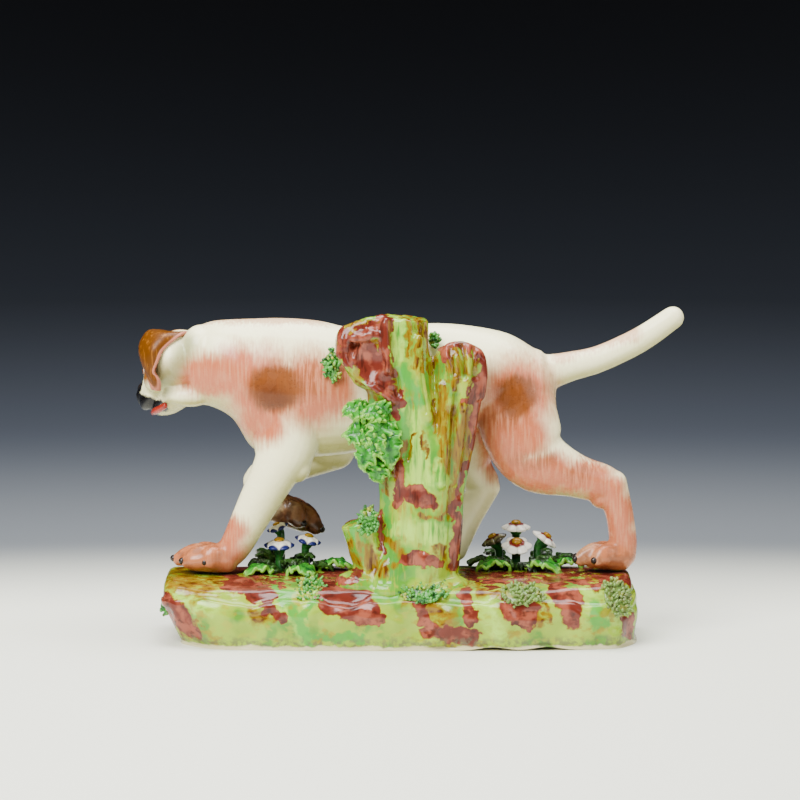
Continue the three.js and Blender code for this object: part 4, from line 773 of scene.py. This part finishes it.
# Rockwork base: a block pressed in a mould, hollow underneath, with lumpy sides, a rolled upper edge and an
# unglazed foot. The left end leans in, and the front edge has two shallow arches.
ROCK_START = -78.0
ROCK_END = 70.3
ROCK_DEPTH = 57
ROCK_CROWN = 3
ROCK_SQUARENESS = 5
ROCK_LUMPS = 9
ROCK_UNDERCUT = 7
ARCHES = (25, 41)
ARCH_HEIGHT = 1.2
ARCH_WIDTH = 12
POCKET_DEPTH = 12.5
ROCK_SECTION = [  # inset, lean of the left end, height as a share of the side, or more than 1 on the top
    (1.6, 1, 0), (1.1, 0.95, 0.06), (0.7, 0.8, 0.2), (0.4, 0.63, 0.36), (0.1, 0.47, 0.5), (0.1, 0.33, 0.64),
    (0.7, 0.16, 0.79), (2.0, 0.04, 0.91), (4.2, 0, 1.0), (7, 0, 2), (11, 0, 2), (15, 0, 2), (20, 0, 2),
    (24.5, 0, 2),
]
ROCK_SIDES = 400
ROCK_LOBE = 0.4
ROCK_END_ROLL = 0.5  # how much tighter the edge is rolled at the two ends
ROCK_SAG = 1.8  # how far the rolled upper edge dips in places
FOLD_DEPTH = 1.8
LUMP_DEPTH = 1.3
WALL_SUNK = 1.0  # how far the wall lies behind its mould on average
HOLLOW_INSETS = (7.2, 6.9)  # of the hollow's roof and of its mouth
ROCK_RIDGES = [  # (x, z) along each ridge of the front, half width, height
    ([(-41, 20), (-38.5, 16), (-35, 12), (-32, 8), (-30.5, 2)], 2.2, 3.2),
    ([(-26.5, 18), (-28.5, 14.5), (-31.5, 10.5)], 2.2, 2.8), ([(-72, 17), (-70, 8), (-66, 2)], 2.0, 2.4),
    ([(-64, 14), (-61, 4)], 2.2, 2.0), ([(49, 17), (53, 10), (54, 3)], 2.0, 2.2),
    ([(27, 17), (29, 9), (27, 3)], 2.6, 2.0), ([(16, 16), (12, 8), (8, 3)], 2.6, 2.0),
    ([(-10, 16), (-9, 6)], 3.0, 2.0),
]


def rock_rim():
    """Evenly spaced points of the rounded outline, from -1 to 1, each with its place in the lobes."""
    dense = []
    for index in range(ROCK_SIDES * 8):
        bearing = 2 * math.pi * index / (ROCK_SIDES * 8)
        cos, sin = math.cos(bearing), math.sin(bearing)
        share = (abs(cos) ** ROCK_SQUARENESS + abs(sin) ** ROCK_SQUARENESS) ** (-1 / ROCK_SQUARENESS)
        dense.append((cos * share, sin * share))
    size = ((ROCK_END - ROCK_START) / 2, ROCK_DEPTH / 2)
    walked = [0]
    for (u, v), (next_u, next_v) in zip(dense, dense[1:] + dense[:1]):
        walked.append(walked[-1] + math.hypot((next_u - u) * size[0], (next_v - v) * size[1]))
    rim = []
    for index in range(ROCK_SIDES):
        u, v = dense[bisect.bisect_left(walked, walked[-1] * index / ROCK_SIDES) % len(dense)]
        power = ROCK_SQUARENESS / 2
        rim.append((u, v, math.atan2(math.copysign(abs(v) ** power, v), math.copysign(abs(u) ** power, u))))
    return rim


def rock_ring(inset, lean):
    """Points round the rock at one inset from its widest outline."""
    points = []
    for u, v, angle in ROCK_RIM:
        pull = inset + ROCK_UNDERCUT * max(0, -math.cos(angle)) ** 2 * lean
        pull += ROCK_LOBE * (1 - math.cos(ROCK_LUMPS * angle)) * (1 if inset < 8 else 0)
        end_pull = pull - ROCK_END_ROLL * min(inset, 6)
        x = (ROCK_START + ROCK_END) / 2 + ((ROCK_END - ROCK_START) / 2 - end_pull) * u
        points.append((x, (ROCK_DEPTH / 2 - pull) * v))
    return points


def arch(x, y):
    if y > -ROCK_DEPTH / 4:
        return 0
    return sum(ARCH_HEIGHT * math.exp(-(((x - place) / ARCH_WIDTH) ** 2) * 4) for place in ARCHES)


def near_ridge(x, z):
    """How high the modelled ridges of the front stand at a place."""
    return max(high * math.exp(-((away_from(line, x, z) / wide) ** 2)) for line, wide, high in ROCK_RIDGES)


def rock_surface(x, y, z, out):
    """Lumps and folds of the modelled sides, which go inwards from the widest outline."""
    fold = noise.noise(Vector((x * 0.08, y * 0.08, z * 0.05))) * FOLD_DEPTH
    lumps = noise.noise(Vector((x * 0.16 + 9, y * 0.16, z * 0.16))) * LUMP_DEPTH
    push = fold + lumps - WALL_SUNK + (near_ridge(x, z) if y < 0 else 0)
    push = -math.log1p(math.exp(-2 * push)) / 2  # what would stand out of the mould is pressed flat
    return Vector((x, y, z)) + out * push * (1 - 0.75 * out.z)


ROCK_RIM = rock_rim()
bm = bmesh.new()
side_height = ROCK_TOP - ROCK_CROWN
roof, mouth = (rock_ring(inset, 1) for inset in HOLLOW_INSETS)
rings = [[(x, y, POCKET_DEPTH) for x, y in roof], [(x, y, arch(x, y)) for x, y in mouth]]
for inset, lean, level in smooth_run(ROCK_SECTION, 3):
    ring = []
    for x, y in rock_ring(inset, lean):
        top = ROCK_TOP - ROCK_CROWN * (2 * y / ROCK_DEPTH) ** 2
        share = min(level, 1)
        z = arch(x, y) * (1 - min(1, level * 4)) + side_height * share
        if level > 1:
            z = side_height + (top - side_height) * min(1, (level - 1) ** 0.5)
        sag = noise.noise(Vector((x * 0.07, y * 0.07, 4))) + 0.5 * noise.noise(Vector((x * 0.2, y * 0.2, 8)))
        z -= ROCK_SAG * max(0, sag + 0.4) * math.exp(-(((level - 0.95) / 0.3) ** 2))
        upward = min(1, max(0, (level - 0.7) / 0.4))
        out = Vector((x * 0.25, y, 0)).normalized() * (1 - upward) + Vector((0, 0, upward))
        ring.append(rock_surface(x, y, z, out) if level > 0.02 else Vector((x, y, z)))
    rings.append(ring)
previous = None
for number, ring in enumerate(rings):
    cap = number in (0, len(rings) - 1)
    circle = bmesh.ops.create_circle(bm, cap_ends=cap, segments=ROCK_SIDES, radius=1)["verts"]
    for vert, place in zip(circle, ring):
        vert.co = place
    previous = bridge(bm, previous, circle)
rock = to_piece("rockwork", bm)

RED_ON_ROCK = [  # from x, z to x, z, width of the brush
    (-55, 19.2, -42, 16.5, 4), (-47, 15.5, -42, 14.5, 3), (-42, 12.5, -38.5, 9.5, 3),
    (-25.5, 17.5, -13, 16, 4), (-24, 13.5, -11, 12.5, 5), (-20, 10, -8, 9.5, 3.5),
    (-27, 19.8, -17, 19.4, 1.6), (1.5, 14.5, 4.5, 10, 4), (6, 6, 18, 4.5, 5.5), (17, 16.5, 19, 9.5, 4),
    (30.5, 15, 36, 11, 6), (33, 9, 36, 8, 3), (43, 18.5, 48, 15, 5), (48, 14, 48.5, 9.5, 6.5),
    (17, 20, 66, 19.4, 1.9), (-46, 20, -28, 20, 1.0), (-74, 12, -66, 5, 7), (65, 8, 66.5, 3, 3),
]
OCHRE_ON_ROCK = [
    (-73, 18.5, -58, 18.2, 3.5), (-72, 20, -60, 19.6, 1.4), (-47, 11, -41, 10.5, 3.2),
    (6, 13.5, 11, 10.5, 5.5), (-1, 13.5, 3, 14, 2.5), (22, 18, 27, 15.5, 2.5), (36, 13, 39, 9, 3.2),
    (54, 19, 67, 18.6, 2), (-17, 18.8, -7, 18.6, 1.8), (40, 14, 42, 8, 1.6),
]
PALE_ON_ROCK = [
    (-38.5, 16, -30.5, 3, 4.5), (-27, 17, -31, 11, 4), (-12, 19, -3, 16, 4), (-70, 15, -60, 13, 5),
    (22, 13, 27, 6, 6), (56, 15, 63, 8, 9),
]
BRIGHT_ON_ROCK = [
    (-41, 20, -35, 12, 3.2), (-35, 12, -30.5, 3, 4), (-26.5, 17, -31.5, 10, 3),
    (-13, 18.4, -5.5, 16.6, 4.6), (-28, 4, -14, 4, 2.4), (57, 13, 58, 8, 5),
]
stone = Glaze("rock_glaze", (134, 160, 42), (0.08, 0.18), 0.1)
turned = stone.smooth(stone.parts(stone.place)["Y"], 16, 25)
dapple(stone, RED_ON_ROCK, OCHRE_ON_ROCK, PALE_ON_ROCK, BRIGHT_ON_ROCK, (0.3, 0.5, 0.45), turned)
height = stone.parts(stone.place)["Z"]
wavering = stone.math("SUBTRACT", height, stone.times(stone.noise(0.3), 2.4))
dust = stone.smooth(stone.noise(0.7, detail=4), 0.42, 0.62)
stone.layer((92, 90, 66), stone.smooth(wavering, 4, 1), dust, 0.75)
stone.layer((206, 198, 152), stone.smooth(wavering, 0.4, -0.3))  # bare clay of the foot rim
fire(rock, stone.done(), "rock_glaze", "rockwork_base")

# Leaf cluster on the stump: six thin blades of clay cut with lobes, frilled at the edge and laid over one
# another. Each carries a smaller frill of the same clay.
LEAF_WALL = 1.0
STUMP_LEAVES = [  # x, y, height, direction, crown, length, width, for each leaf of the frame
    (-11.8, -20.5, 51.8, (-1, -0.25, 0.1), (-0.1, -1, 0.5), 8.5, 6.5),
    (-6.5, -21.5, 50.6, (-1, -0.45, 0.18), (0, -1, 0.6), 8.5, 6),
    (-10.0, -20.5, 45.5, (-1, -0.35, -0.05), (-0.1, -1, 0.3), 10, 8.5),
    (-7.8, -21.0, 49.5, (0.16, -0.3, -1), (0.2, -1, 0.1), 15, 8.5),
    (-9.8, -21.5, 45, (-0.5, -0.4, -1), (-0.35, -1, 0.1), 11.5, 8.5),
    (-9.0, -21.0, 38.6, (-0.15, -0.3, -1), (-0.2, -1, 0), 8, 8.5),
]
FRILL_TURN = math.radians(38)  # from a blade to the frill on it
FRILL_LENGTH = 0.62  # as shares of the blade's
FRILL_WIDTH = 0.8
FRILL_LIFT = 1.2
LEAF_GRID = (46, 26)
LOBE_DEPTH = 0.42
VEIN = 0.5


def leaf_blade(name, root, direction, crown, length, width, lobes, frill, droop, seed):
    """Lobed blade with a sunk vein, a frilled edge and a falling tip."""
    bm = bmesh.new()
    direction = Vector(direction).normalized()
    crown = Vector(crown)
    crown = (crown - crown.dot(direction) * direction).normalized()
    side = direction.cross(crown)
    for vert in sheet(bm, LEAF_GRID):
        along, across = (vert.co.x + 1) / 2, vert.co.y
        body = math.sin(math.pi * min(1, 0.06 + along * 0.97) ** 0.85) ** 0.55 if along < 0.995 else 0.12
        edge = abs(across)
        lobe = 1.12 - LOBE_DEPTH * edge * (1 - abs(math.sin(math.pi * lobes * along + seed)) ** 0.7)
        half = width / 2 * max(0.1, body) * lobe
        turn = 2 * math.pi * lobes * along + (2.1 if across > 0 else 0) + seed
        wave = frill * edge**2 * (math.sin(turn) + 0.5 * math.sin(2.3 * turn))
        vein = VEIN * math.exp(-((across / 0.16) ** 2)) + 0.12 * math.cos(20 * (along - 0.4 * edge))
        rise = length * 0.2 * math.sin(math.pi * along) - droop * along**2 + wave - vein * 0.6 - 0.8 * edge**2
        vert.co = Vector(root) + direction * length * along + side * half * across + crown * rise
    piece = to_piece(name, bm)
    thicken(piece, LEAF_WALL)
    return piece


leafage = Glaze("leaf_green", (52, 140, 34), (0.16, 0.3), 0.15)
leaf_map = leafage.parts(leafage.coordinates("UV"))
leafage.layer((26, 82, 32), leafage.smooth(leafage.noise(0.45), 0.5, 0.66))
from_middle = leafage.math("ABSOLUTE", leafage.math("SUBTRACT", leaf_map["Y"], 0.5))
# painted shade: darker along the sunk middle of each blade
leafage.layer((20, 70, 28), leafage.smooth(from_middle, 0.22, 0.04), 0.6)
pale = leafage.either(leafage.smooth(from_middle, 0.36, 0.5), leafage.smooth(leaf_map["X"], 0.86, 1))
leafage.layer((140, 194, 72), pale, 0.75)
leaf_green = leafage.done()
for number, (x, y, up, direction, crown, length, width) in enumerate(STUMP_LEAVES, 1):
    name = f"stump_leaf_{number}"
    root = Vector((x, y, ROCK_TOP + up))
    shape = {"lobes": 4, "frill": 2.0, "droop": 1.0, "seed": number}
    blade = leaf_blade(name + "_blade", root, direction, crown, length, width, **shape)
    outward = Vector(crown).normalized()
    aside = Vector(direction)
    aside.rotate(Quaternion(outward, FRILL_TURN * (-1) ** (number + 1)))
    shape = {"lobes": 3, "frill": 2.0, "droop": 0.4, "seed": number + 3}
    length, width = length * FRILL_LENGTH, width * FRILL_WIDTH
    frill = leaf_blade(name + "_frill", root + outward * FRILL_LIFT, aside, crown, length, width, **shape)
    fire(blade, leaf_green, "leaf_enamel", name)
    fire(frill, leaf_green, "leaf_enamel")

# Leaves on the ground: broader lobed blades of the same clay, pressed round the foot of each group of
# flowers, with smaller leaves between the stems, whose dark green is painted shade.
GROUND_LEAVES = [  # name, x, y, bearing in degrees, length, width
    ("left_leaf_1", -42, -2, 205, 9, 8), ("left_leaf_2", -36.5, -3, 325, 9, 8),
    ("left_leaf_3", -28, 4.5, 350, 11, 8), ("right_leaf_1", 31, 5, 200, 11, 9),
    ("right_leaf_2", 37, 4, 325, 11, 9), ("right_leaf_3", 44, 10, 5, 10, 8),
]
SPRIGS = [  # x, y, bearing in degrees, rise, length, width of each young leaf
    (-40, -1.5, 190, 0.5, 6, 6), (-38, -1, 350, 0.6, 7, 6), (-33, 3, 250, 0.6, 6, 6),
    (-30, 4, 330, 0.5, 7, 6), (32, 5.5, 215, 0.6, 7, 6), (35, 5, 300, 0.5, 6, 6), (38, 9, 330, 0.8, 8, 7),
    (27, 11, 185, 0.4, 9, 7), (45, 11, 30, 0.9, 7, 7), (-43, 2, 215, 0.9, 7, 7), (-36, 2, 275, 1.0, 7, 7),
    (-34, 7, 300, 1.3, 8, 7), (-43, 8, 120, 1.2, 8, 7), (29, 8, 240, 0.9, 7, 7), (39, 5, 290, 0.8, 7, 7),
    (30, 17, 150, 1.0, 8, 7), (40, 15, 60, 1.0, 8, 7),
]


def rock_height(x, y):
    return ROCK_TOP - ROCK_CROWN * (2 * y / ROCK_DEPTH) ** 2


def ground_leaf(name, x, y, sunk, bearing, rise, length, width, droop, seed):
    angle = math.radians(bearing)
    root = (x, y, rock_height(x, y) + sunk)
    direction = (math.cos(angle), math.sin(angle), rise)
    return leaf_blade(name, root, direction, (0, 0, 1), length, width, 3, 0.8, droop, seed)


for number, (name, x, y, bearing, length, width) in enumerate(GROUND_LEAVES):
    blade = ground_leaf(name + "_blade", x, y, 0.4, bearing, 0.18, length, width, 1.8, number)
    fire(blade, leaf_green, "leaf_enamel", name)
# The small leaves among the stems are modelled, and their dark green is painted shade.
shaded_sprig_green = mottled("sprig_green_painted_shade", (44, 76, 26), (24, 38, 16), 0.4, 0.42, 0.6, (0.2, 0.35), 0.3)
for number, (x, y, bearing, rise, length, width) in enumerate(SPRIGS):
    young = ground_leaf(f"sprig_{number + 1}", x, y, 0.2, bearing, rise, length, width, 2.2, number)
    fire(young, shaded_sprig_green, "leaf_enamel")

# Blossoms: six pointed petals pressed round a domed heart, on a green cup and stem. Those on the left have
# blue tips, those on the right a red ring round the heart.
PETALS = 6
LEFT_BLOSSOMS = [  # x, y, height, radius, tilt, bearing
    (-41, 6, 13.4, 3.4, 22, 200), (-40, 0.5, 9.2, 4.7, 8, 270), (-31, 4, 10, 4.1, 16, 330),
]
RIGHT_BLOSSOMS = [
    (33.2, 15.5, 12.4, 4.5, 6, 270), (33.2, 7.5, 7.8, 4.7, 26, 270), (25.8, 13, 8.6, 4.2, 26, 190),
    (42.6, 11.5, 9, 4.4, 36, 0),
]
PETAL_RINGS = 10
PETAL_SIDES = 72
PETAL_NOTCH = 0.3  # how deep the petals are parted, as a share of the radius
PETAL_FALL = 0.42
HEART = (0.34, 0.34, 0.17)  # radii, as shares of the blossom's
HEART_LIFT = 0.1
CUP = ((0.25, 0.56), (0.6, 0.44))  # how far under the petals and how thick, as shares of the radius
CUP_END = 1.1
STEM = (1.25, 1.4)  # half thickness under the cup and on the ground


def blossom_turn(tilt, bearing):
    angle, lean = math.radians(bearing), math.radians(tilt)
    axis = Vector((math.cos(angle) * math.sin(lean), math.sin(angle) * math.sin(lean), math.cos(lean)))
    return Vector((0, 0, 1)).rotation_difference(axis).to_matrix().to_4x4(), axis


def petal_crown(name, centre, turn, radius):
    """Ring of petals that fall from the heart, each with a point and a crease."""
    bm = bmesh.new()
    uv = bm.loops.layers.uv.new("UVMap")
    previous = None
    for ring in range(PETAL_RINGS + 1):
        share = 0.12 + 0.88 * ring / PETAL_RINGS
        circle = bmesh.ops.create_circle(bm, cap_ends=ring == 0, segments=PETAL_SIDES, radius=1)["verts"]
        for index, vert in enumerate(circle):
            angle = 2 * math.pi * index / PETAL_SIDES
            petal = abs(math.cos(PETALS * angle / 2))
            reach = radius * share * (1 - PETAL_NOTCH * (1 - petal**0.8) * share**2)
            fall = -radius * PETAL_FALL * share**1.7 + radius * 0.1 * share * petal
            vert.co = (reach * math.cos(angle), reach * math.sin(angle), fall)
        previous = bridge(bm, previous, circle)
    for face in bm.faces:
        for loop in face.loops:
            loop[uv].uv = (loop.vert.co.x / radius / 2 + 0.5, loop.vert.co.y / radius / 2 + 0.5)
    bmesh.ops.transform(bm, matrix=Matrix.Translation(centre) @ turn, verts=bm.verts)
    piece = to_piece(name, bm)
    thicken(piece, 0.8)
    return piece


def petal_glaze(name, ground, tip_colour, ring_colour):
    glaze = Glaze(name, ground, (0.08, 0.18), 0.1)
    flat = glaze.vector("SUBTRACT", glaze.coordinates("UV"), (0.5, 0.5, 0))
    reach = glaze.vector("LENGTH", flat)
    parts = glaze.parts(flat)
    angle = glaze.math("ARCTAN2", parts["Y"], parts["X"])
    dash = glaze.math("ABSOLUTE", glaze.math("COSINE", glaze.times(angle, PETALS / 2)))
    if tip_colour:
        glaze.layer(tip_colour, glaze.smooth(glaze.math("ADD", reach, glaze.times(dash, 0.06)), 0.37, 0.45))
    if ring_colour:
        glaze.layer(ring_colour, glaze.smooth(reach, 0.29, 0.22))
    glaze.layer((176, 170, 140), glaze.smooth(dash, 0.25, 0.0), 0.5)  # shade between the petals
    return glaze.done()


WHITE = (236, 232, 220)
heart_yellow = mottled("heart_yellow", (160, 116, 16), (92, 90, 20), 1.2, 0.5, 0.65, (0.1, 0.2), 0.3)
stem_green = mottled("stem_green", (40, 100, 38), (24, 60, 28), 0.4, 0.45, 0.65, (0.08, 0.2), 0.1)
groups = [
    ("left", LEFT_BLOSSOMS, petal_glaze("petals_blue", WHITE, (22, 30, 92), None)),
    ("right", RIGHT_BLOSSOMS, petal_glaze("petals_red", WHITE, None, (112, 26, 18))),
]
# Painted shade: the third blossom on the right gets darker copies of the white petals and the red ring, with
# dark tips.
petals_in_painted_shade = petal_glaze("petals_in_painted_shade", (112, 108, 70), (58, 52, 30), (84, 34, 22))
SHADED_BLOSSOM = "right_blossom_3"
for group, flowers, petals in groups:
    for number, (x, y, up, radius, tilt, bearing) in enumerate(flowers, 1):
        name, stem_name = f"{group}_blossom_{number}", f"{group}_stem_{number}"
        turn, axis = blossom_turn(tilt, bearing)
        centre = Vector((x, y, ROCK_TOP + up))
        crown = petal_crown(name + "_petals", centre, turn, radius)
        fire(crown, petals_in_painted_shade if name == SHADED_BLOSSOM else petals, "petal_enamel", name)
        forms = bmesh.new()
        lump(forms, centre + axis * HEART_LIFT * radius, [radius * share for share in HEART], turn)
        fire(to_piece(name + "_heart", forms), heart_yellow, "petal_enamel")
        forms = bmesh.new()
        foot = centre - axis * radius * CUP_END
        ground = Vector((foot.x, foot.y, rock_height(foot.x, foot.y) - 0.4))
        cup = [(centre - axis * down * radius, radius * half) for down, half in CUP]
        run = [*cup, *zip((foot, ground), STEM)]
        oval_tube(forms, [(*place, half, half) for place, half in run], across=(1, 0, 0), sides=18)
        fire(to_piece(stem_name + "_cup", forms), stem_green, "leaf_enamel", stem_name)

# Moss: clay pushed through a sieve, cut off as a tuft of short strands, and pressed on the dog's flank, the
# stump and the edge of the rock.
MOSS = [  # name, x, y, z, facing, long, tall, strands
    ("flank_moss", -23.4, -8.9, 84.5, (-0.2, -1, 0), 4.5, 9.5, 60),
    ("fork_moss", 7.2, -5.2, 91.4, (0.2, -0.8, 0.6), 3, 4.4, 26),
    ("stub_moss", -12.2, -20.0, 38.5, (-0.3, -1, 0.2), 5.5, 8.5, 60),
    ("front_left_moss", -30, -20, 17.6, (0, -0.8, 1), 8, 11, 100),
    ("front_middle_moss", 3.5, -22.0, 17.6, (0, -0.8, 1), 16, 9.5, 160),
    ("front_right_moss", 33.7, -23.8, 16.4, (0, -0.9, 0.9), 12, 8, 100),
    ("heel_end_moss", 62.5, -21.8, 15.2, (0.7, -0.9, 0.7), 10, 12, 110),
    ("toe_end_moss", -73.5, -12, 11, (-1, -0.3, 0), 4, 5, 26),
]
STRAND = 0.55  # half thickness
STRAND_LENGTH = 2.0
STRAND_SPLAY = 0.7
STRAND_STRAY = 0.5  # how far a strand leans and bends its own way
PAD_SHARE = 0.92  # of the tuft that is pressed flat underneath
PAD_THICKNESS = 1.1
OLIVE_SIDE = (30, 16, 66, 14, 20)  # a stroke over the moss at the heel end, which is painted olive
moss = Glaze("moss_green", (80, 152, 62), (0.12, 0.3), 0.1)
moss.layer((34, 80, 36), moss.smooth(moss.noise(0.5), 0.46, 0.62))
moss.layer((156, 158, 50), moss.smooth(moss.noise(0.3, (1, 1.3, 1)), 0.54, 0.7))
moss.layer((122, 118, 66), moss.stroke(moss.place, *OLIVE_SIDE, 0.3), 0.55)
moss_green = moss.done()
for seed, (name, x, y, z, facing, long, tall, strands) in enumerate(MOSS):
    chance = random.Random(seed)
    outward = Vector(facing).normalized()
    side = Vector((1, 0, 0)) if abs(outward.z) > 0.9 else Vector((0, 0, 1)).cross(outward).normalized()
    rise = outward.cross(side)
    centre = Vector((x, y, z))
    turn = Matrix((side, rise, outward)).transposed().to_4x4()
    forms = bmesh.new()
    lump(forms, centre, (long / 2 * PAD_SHARE, tall / 2 * PAD_SHARE, PAD_THICKNESS), turn)
    for _ in range(strands):
        angle = chance.uniform(0, 2 * math.pi)
        reach = math.sqrt(chance.random())
        u, v = reach * math.cos(angle), reach * math.sin(angle)
        dome = 0.9 * (1 - reach * reach) - 0.3
        root = centre + side * u * long / 2 + rise * v * tall / 2 + outward * dome
        lean = outward + side * (u * STRAND_SPLAY + chance.uniform(-STRAND_STRAY, STRAND_STRAY))
        lean += rise * (v * STRAND_SPLAY + chance.uniform(-STRAND_STRAY, STRAND_STRAY))
        bend = side * chance.uniform(-STRAND_STRAY, STRAND_STRAY)
        bend += rise * chance.uniform(-STRAND_STRAY, STRAND_STRAY)
        length = STRAND_LENGTH * chance.uniform(0.5, 1)
        thick = STRAND * chance.uniform(0.75, 1.15)
        lean.normalize()
        stations = [
            (*root, thick, thick),
            (*(root + lean * length * 0.55 + bend * 0.2), thick, thick),
            (*(root + lean * length + bend * 0.9), thick * 0.8, thick * 0.8),
        ]
        oval_tube(forms, stations, across=side + rise * 0.01, sides=6, steps=1)
    fire(to_piece(name + "_tuft", forms), moss_green, "moss_enamel", name)

# Floor and backdrop: a round sheet of paper, pale under the figure, that bends up all round it. It turns
# slate grey behind the figure and nearly black where it rises.
SWEEP_RADIUS = 1900
SWEEP_BEND = 700
SWEEP_HEIGHT = 1700
BEND_STEPS = 12
PAPER_SHADES = [  # colour, and between which distances from the front it takes over
    ((98, 102, 106), 185, 340), ((60, 65, 74), 300, 690), ((10, 10, 13), 1260, 1930),
]
bm = bmesh.new()
profile = [(0, 0), (SWEEP_RADIUS - SWEEP_BEND, 0)]
for step in range(1, BEND_STEPS + 1):
    angle = math.pi / 2 * step / BEND_STEPS
    out = SWEEP_RADIUS - SWEEP_BEND + SWEEP_BEND * math.sin(angle)
    profile.append((out, SWEEP_BEND - SWEEP_BEND * math.cos(angle)))
profile.append((SWEEP_RADIUS, SWEEP_HEIGHT))
verts = [bm.verts.new((out, 0, up)) for out, up in profile]
edges = [bm.edges.new(pair) for pair in zip(verts, verts[1:])]
bmesh.ops.spin(bm, geom=edges, axis=(0, 0, 1), cent=(0, 0, 0), angle=2 * math.pi, steps=96, use_merge=True)
bmesh.ops.remove_doubles(bm, verts=bm.verts, dist=0.01)
floor = to_piece("floor", bm)
paper = Glaze("paper_sweep", (228, 229, 214), (0.6, 0.6), 0)
spread = paper.vector("MULTIPLY", paper.vector("ADD", paper.place, (0, 140, 0)), (0.55, 1, 1))
from_front = paper.vector("LENGTH", spread)
for colour, start, end in PAPER_SHADES:
    paper.layer(colour, paper.smooth(from_front, start, end))
floor.data.materials.append(paper.done())

# Camera: it stands far off on the side with the stump, a little above the figure, and looks down on it by a
# few degrees through a long lens.
CAMERA_ELEVATION = math.radians(6.6)
CAMERA_DISTANCE = 1100
CAMERA_TARGET = Vector((-2.9, 0, 72.9))
CAMERA_LENS = 162
camera = bpy.data.objects.new("camera", bpy.data.cameras.new("camera"))
camera.data.lens = CAMERA_LENS
camera.data.sensor_width = 36
back = Vector((0, -math.cos(CAMERA_ELEVATION), math.sin(CAMERA_ELEVATION)))
camera.location = (CAMERA_TARGET + back * CAMERA_DISTANCE) * MM
camera.rotation_euler = (math.pi / 2 - CAMERA_ELEVATION, 0, 0)
camera.data.clip_start = 0.01
camera.data.clip_end = 10
bpy.context.scene.collection.objects.link(camera)
bpy.context.scene.camera = camera

# Studio light: a large soft box high on the left, a weaker one on the right, one overhead, and pale light
# from the room.
SOFT_BOXES = [  # place, size, watts
    ((-420, -520, 620), 0.55, 19.5),
    ((600, -480, 360), 0.5, 2.5),
    ((40, 40, 760), 0.6, 15.0),
]
for number, (place, size, watts) in enumerate(SOFT_BOXES):
    box = bpy.data.lights.new(f"soft_box_{number}", "AREA")
    box.size = size
    box.energy = watts
    lamp = bpy.data.objects.new(box.name, box)
    lamp.location = Vector(place) * MM
    lamp.rotation_euler = (Vector((0, 0, 50)) - Vector(place)).to_track_quat("-Z", "Y").to_euler()
    bpy.context.scene.collection.objects.link(lamp)
room = bpy.data.worlds.new("room")
room.use_nodes = True
background = room.node_tree.nodes["Background"].inputs
background["Color"].default_value = srgb(200, 204, 214)
background["Strength"].default_value = 0.12
bpy.context.scene.world = room
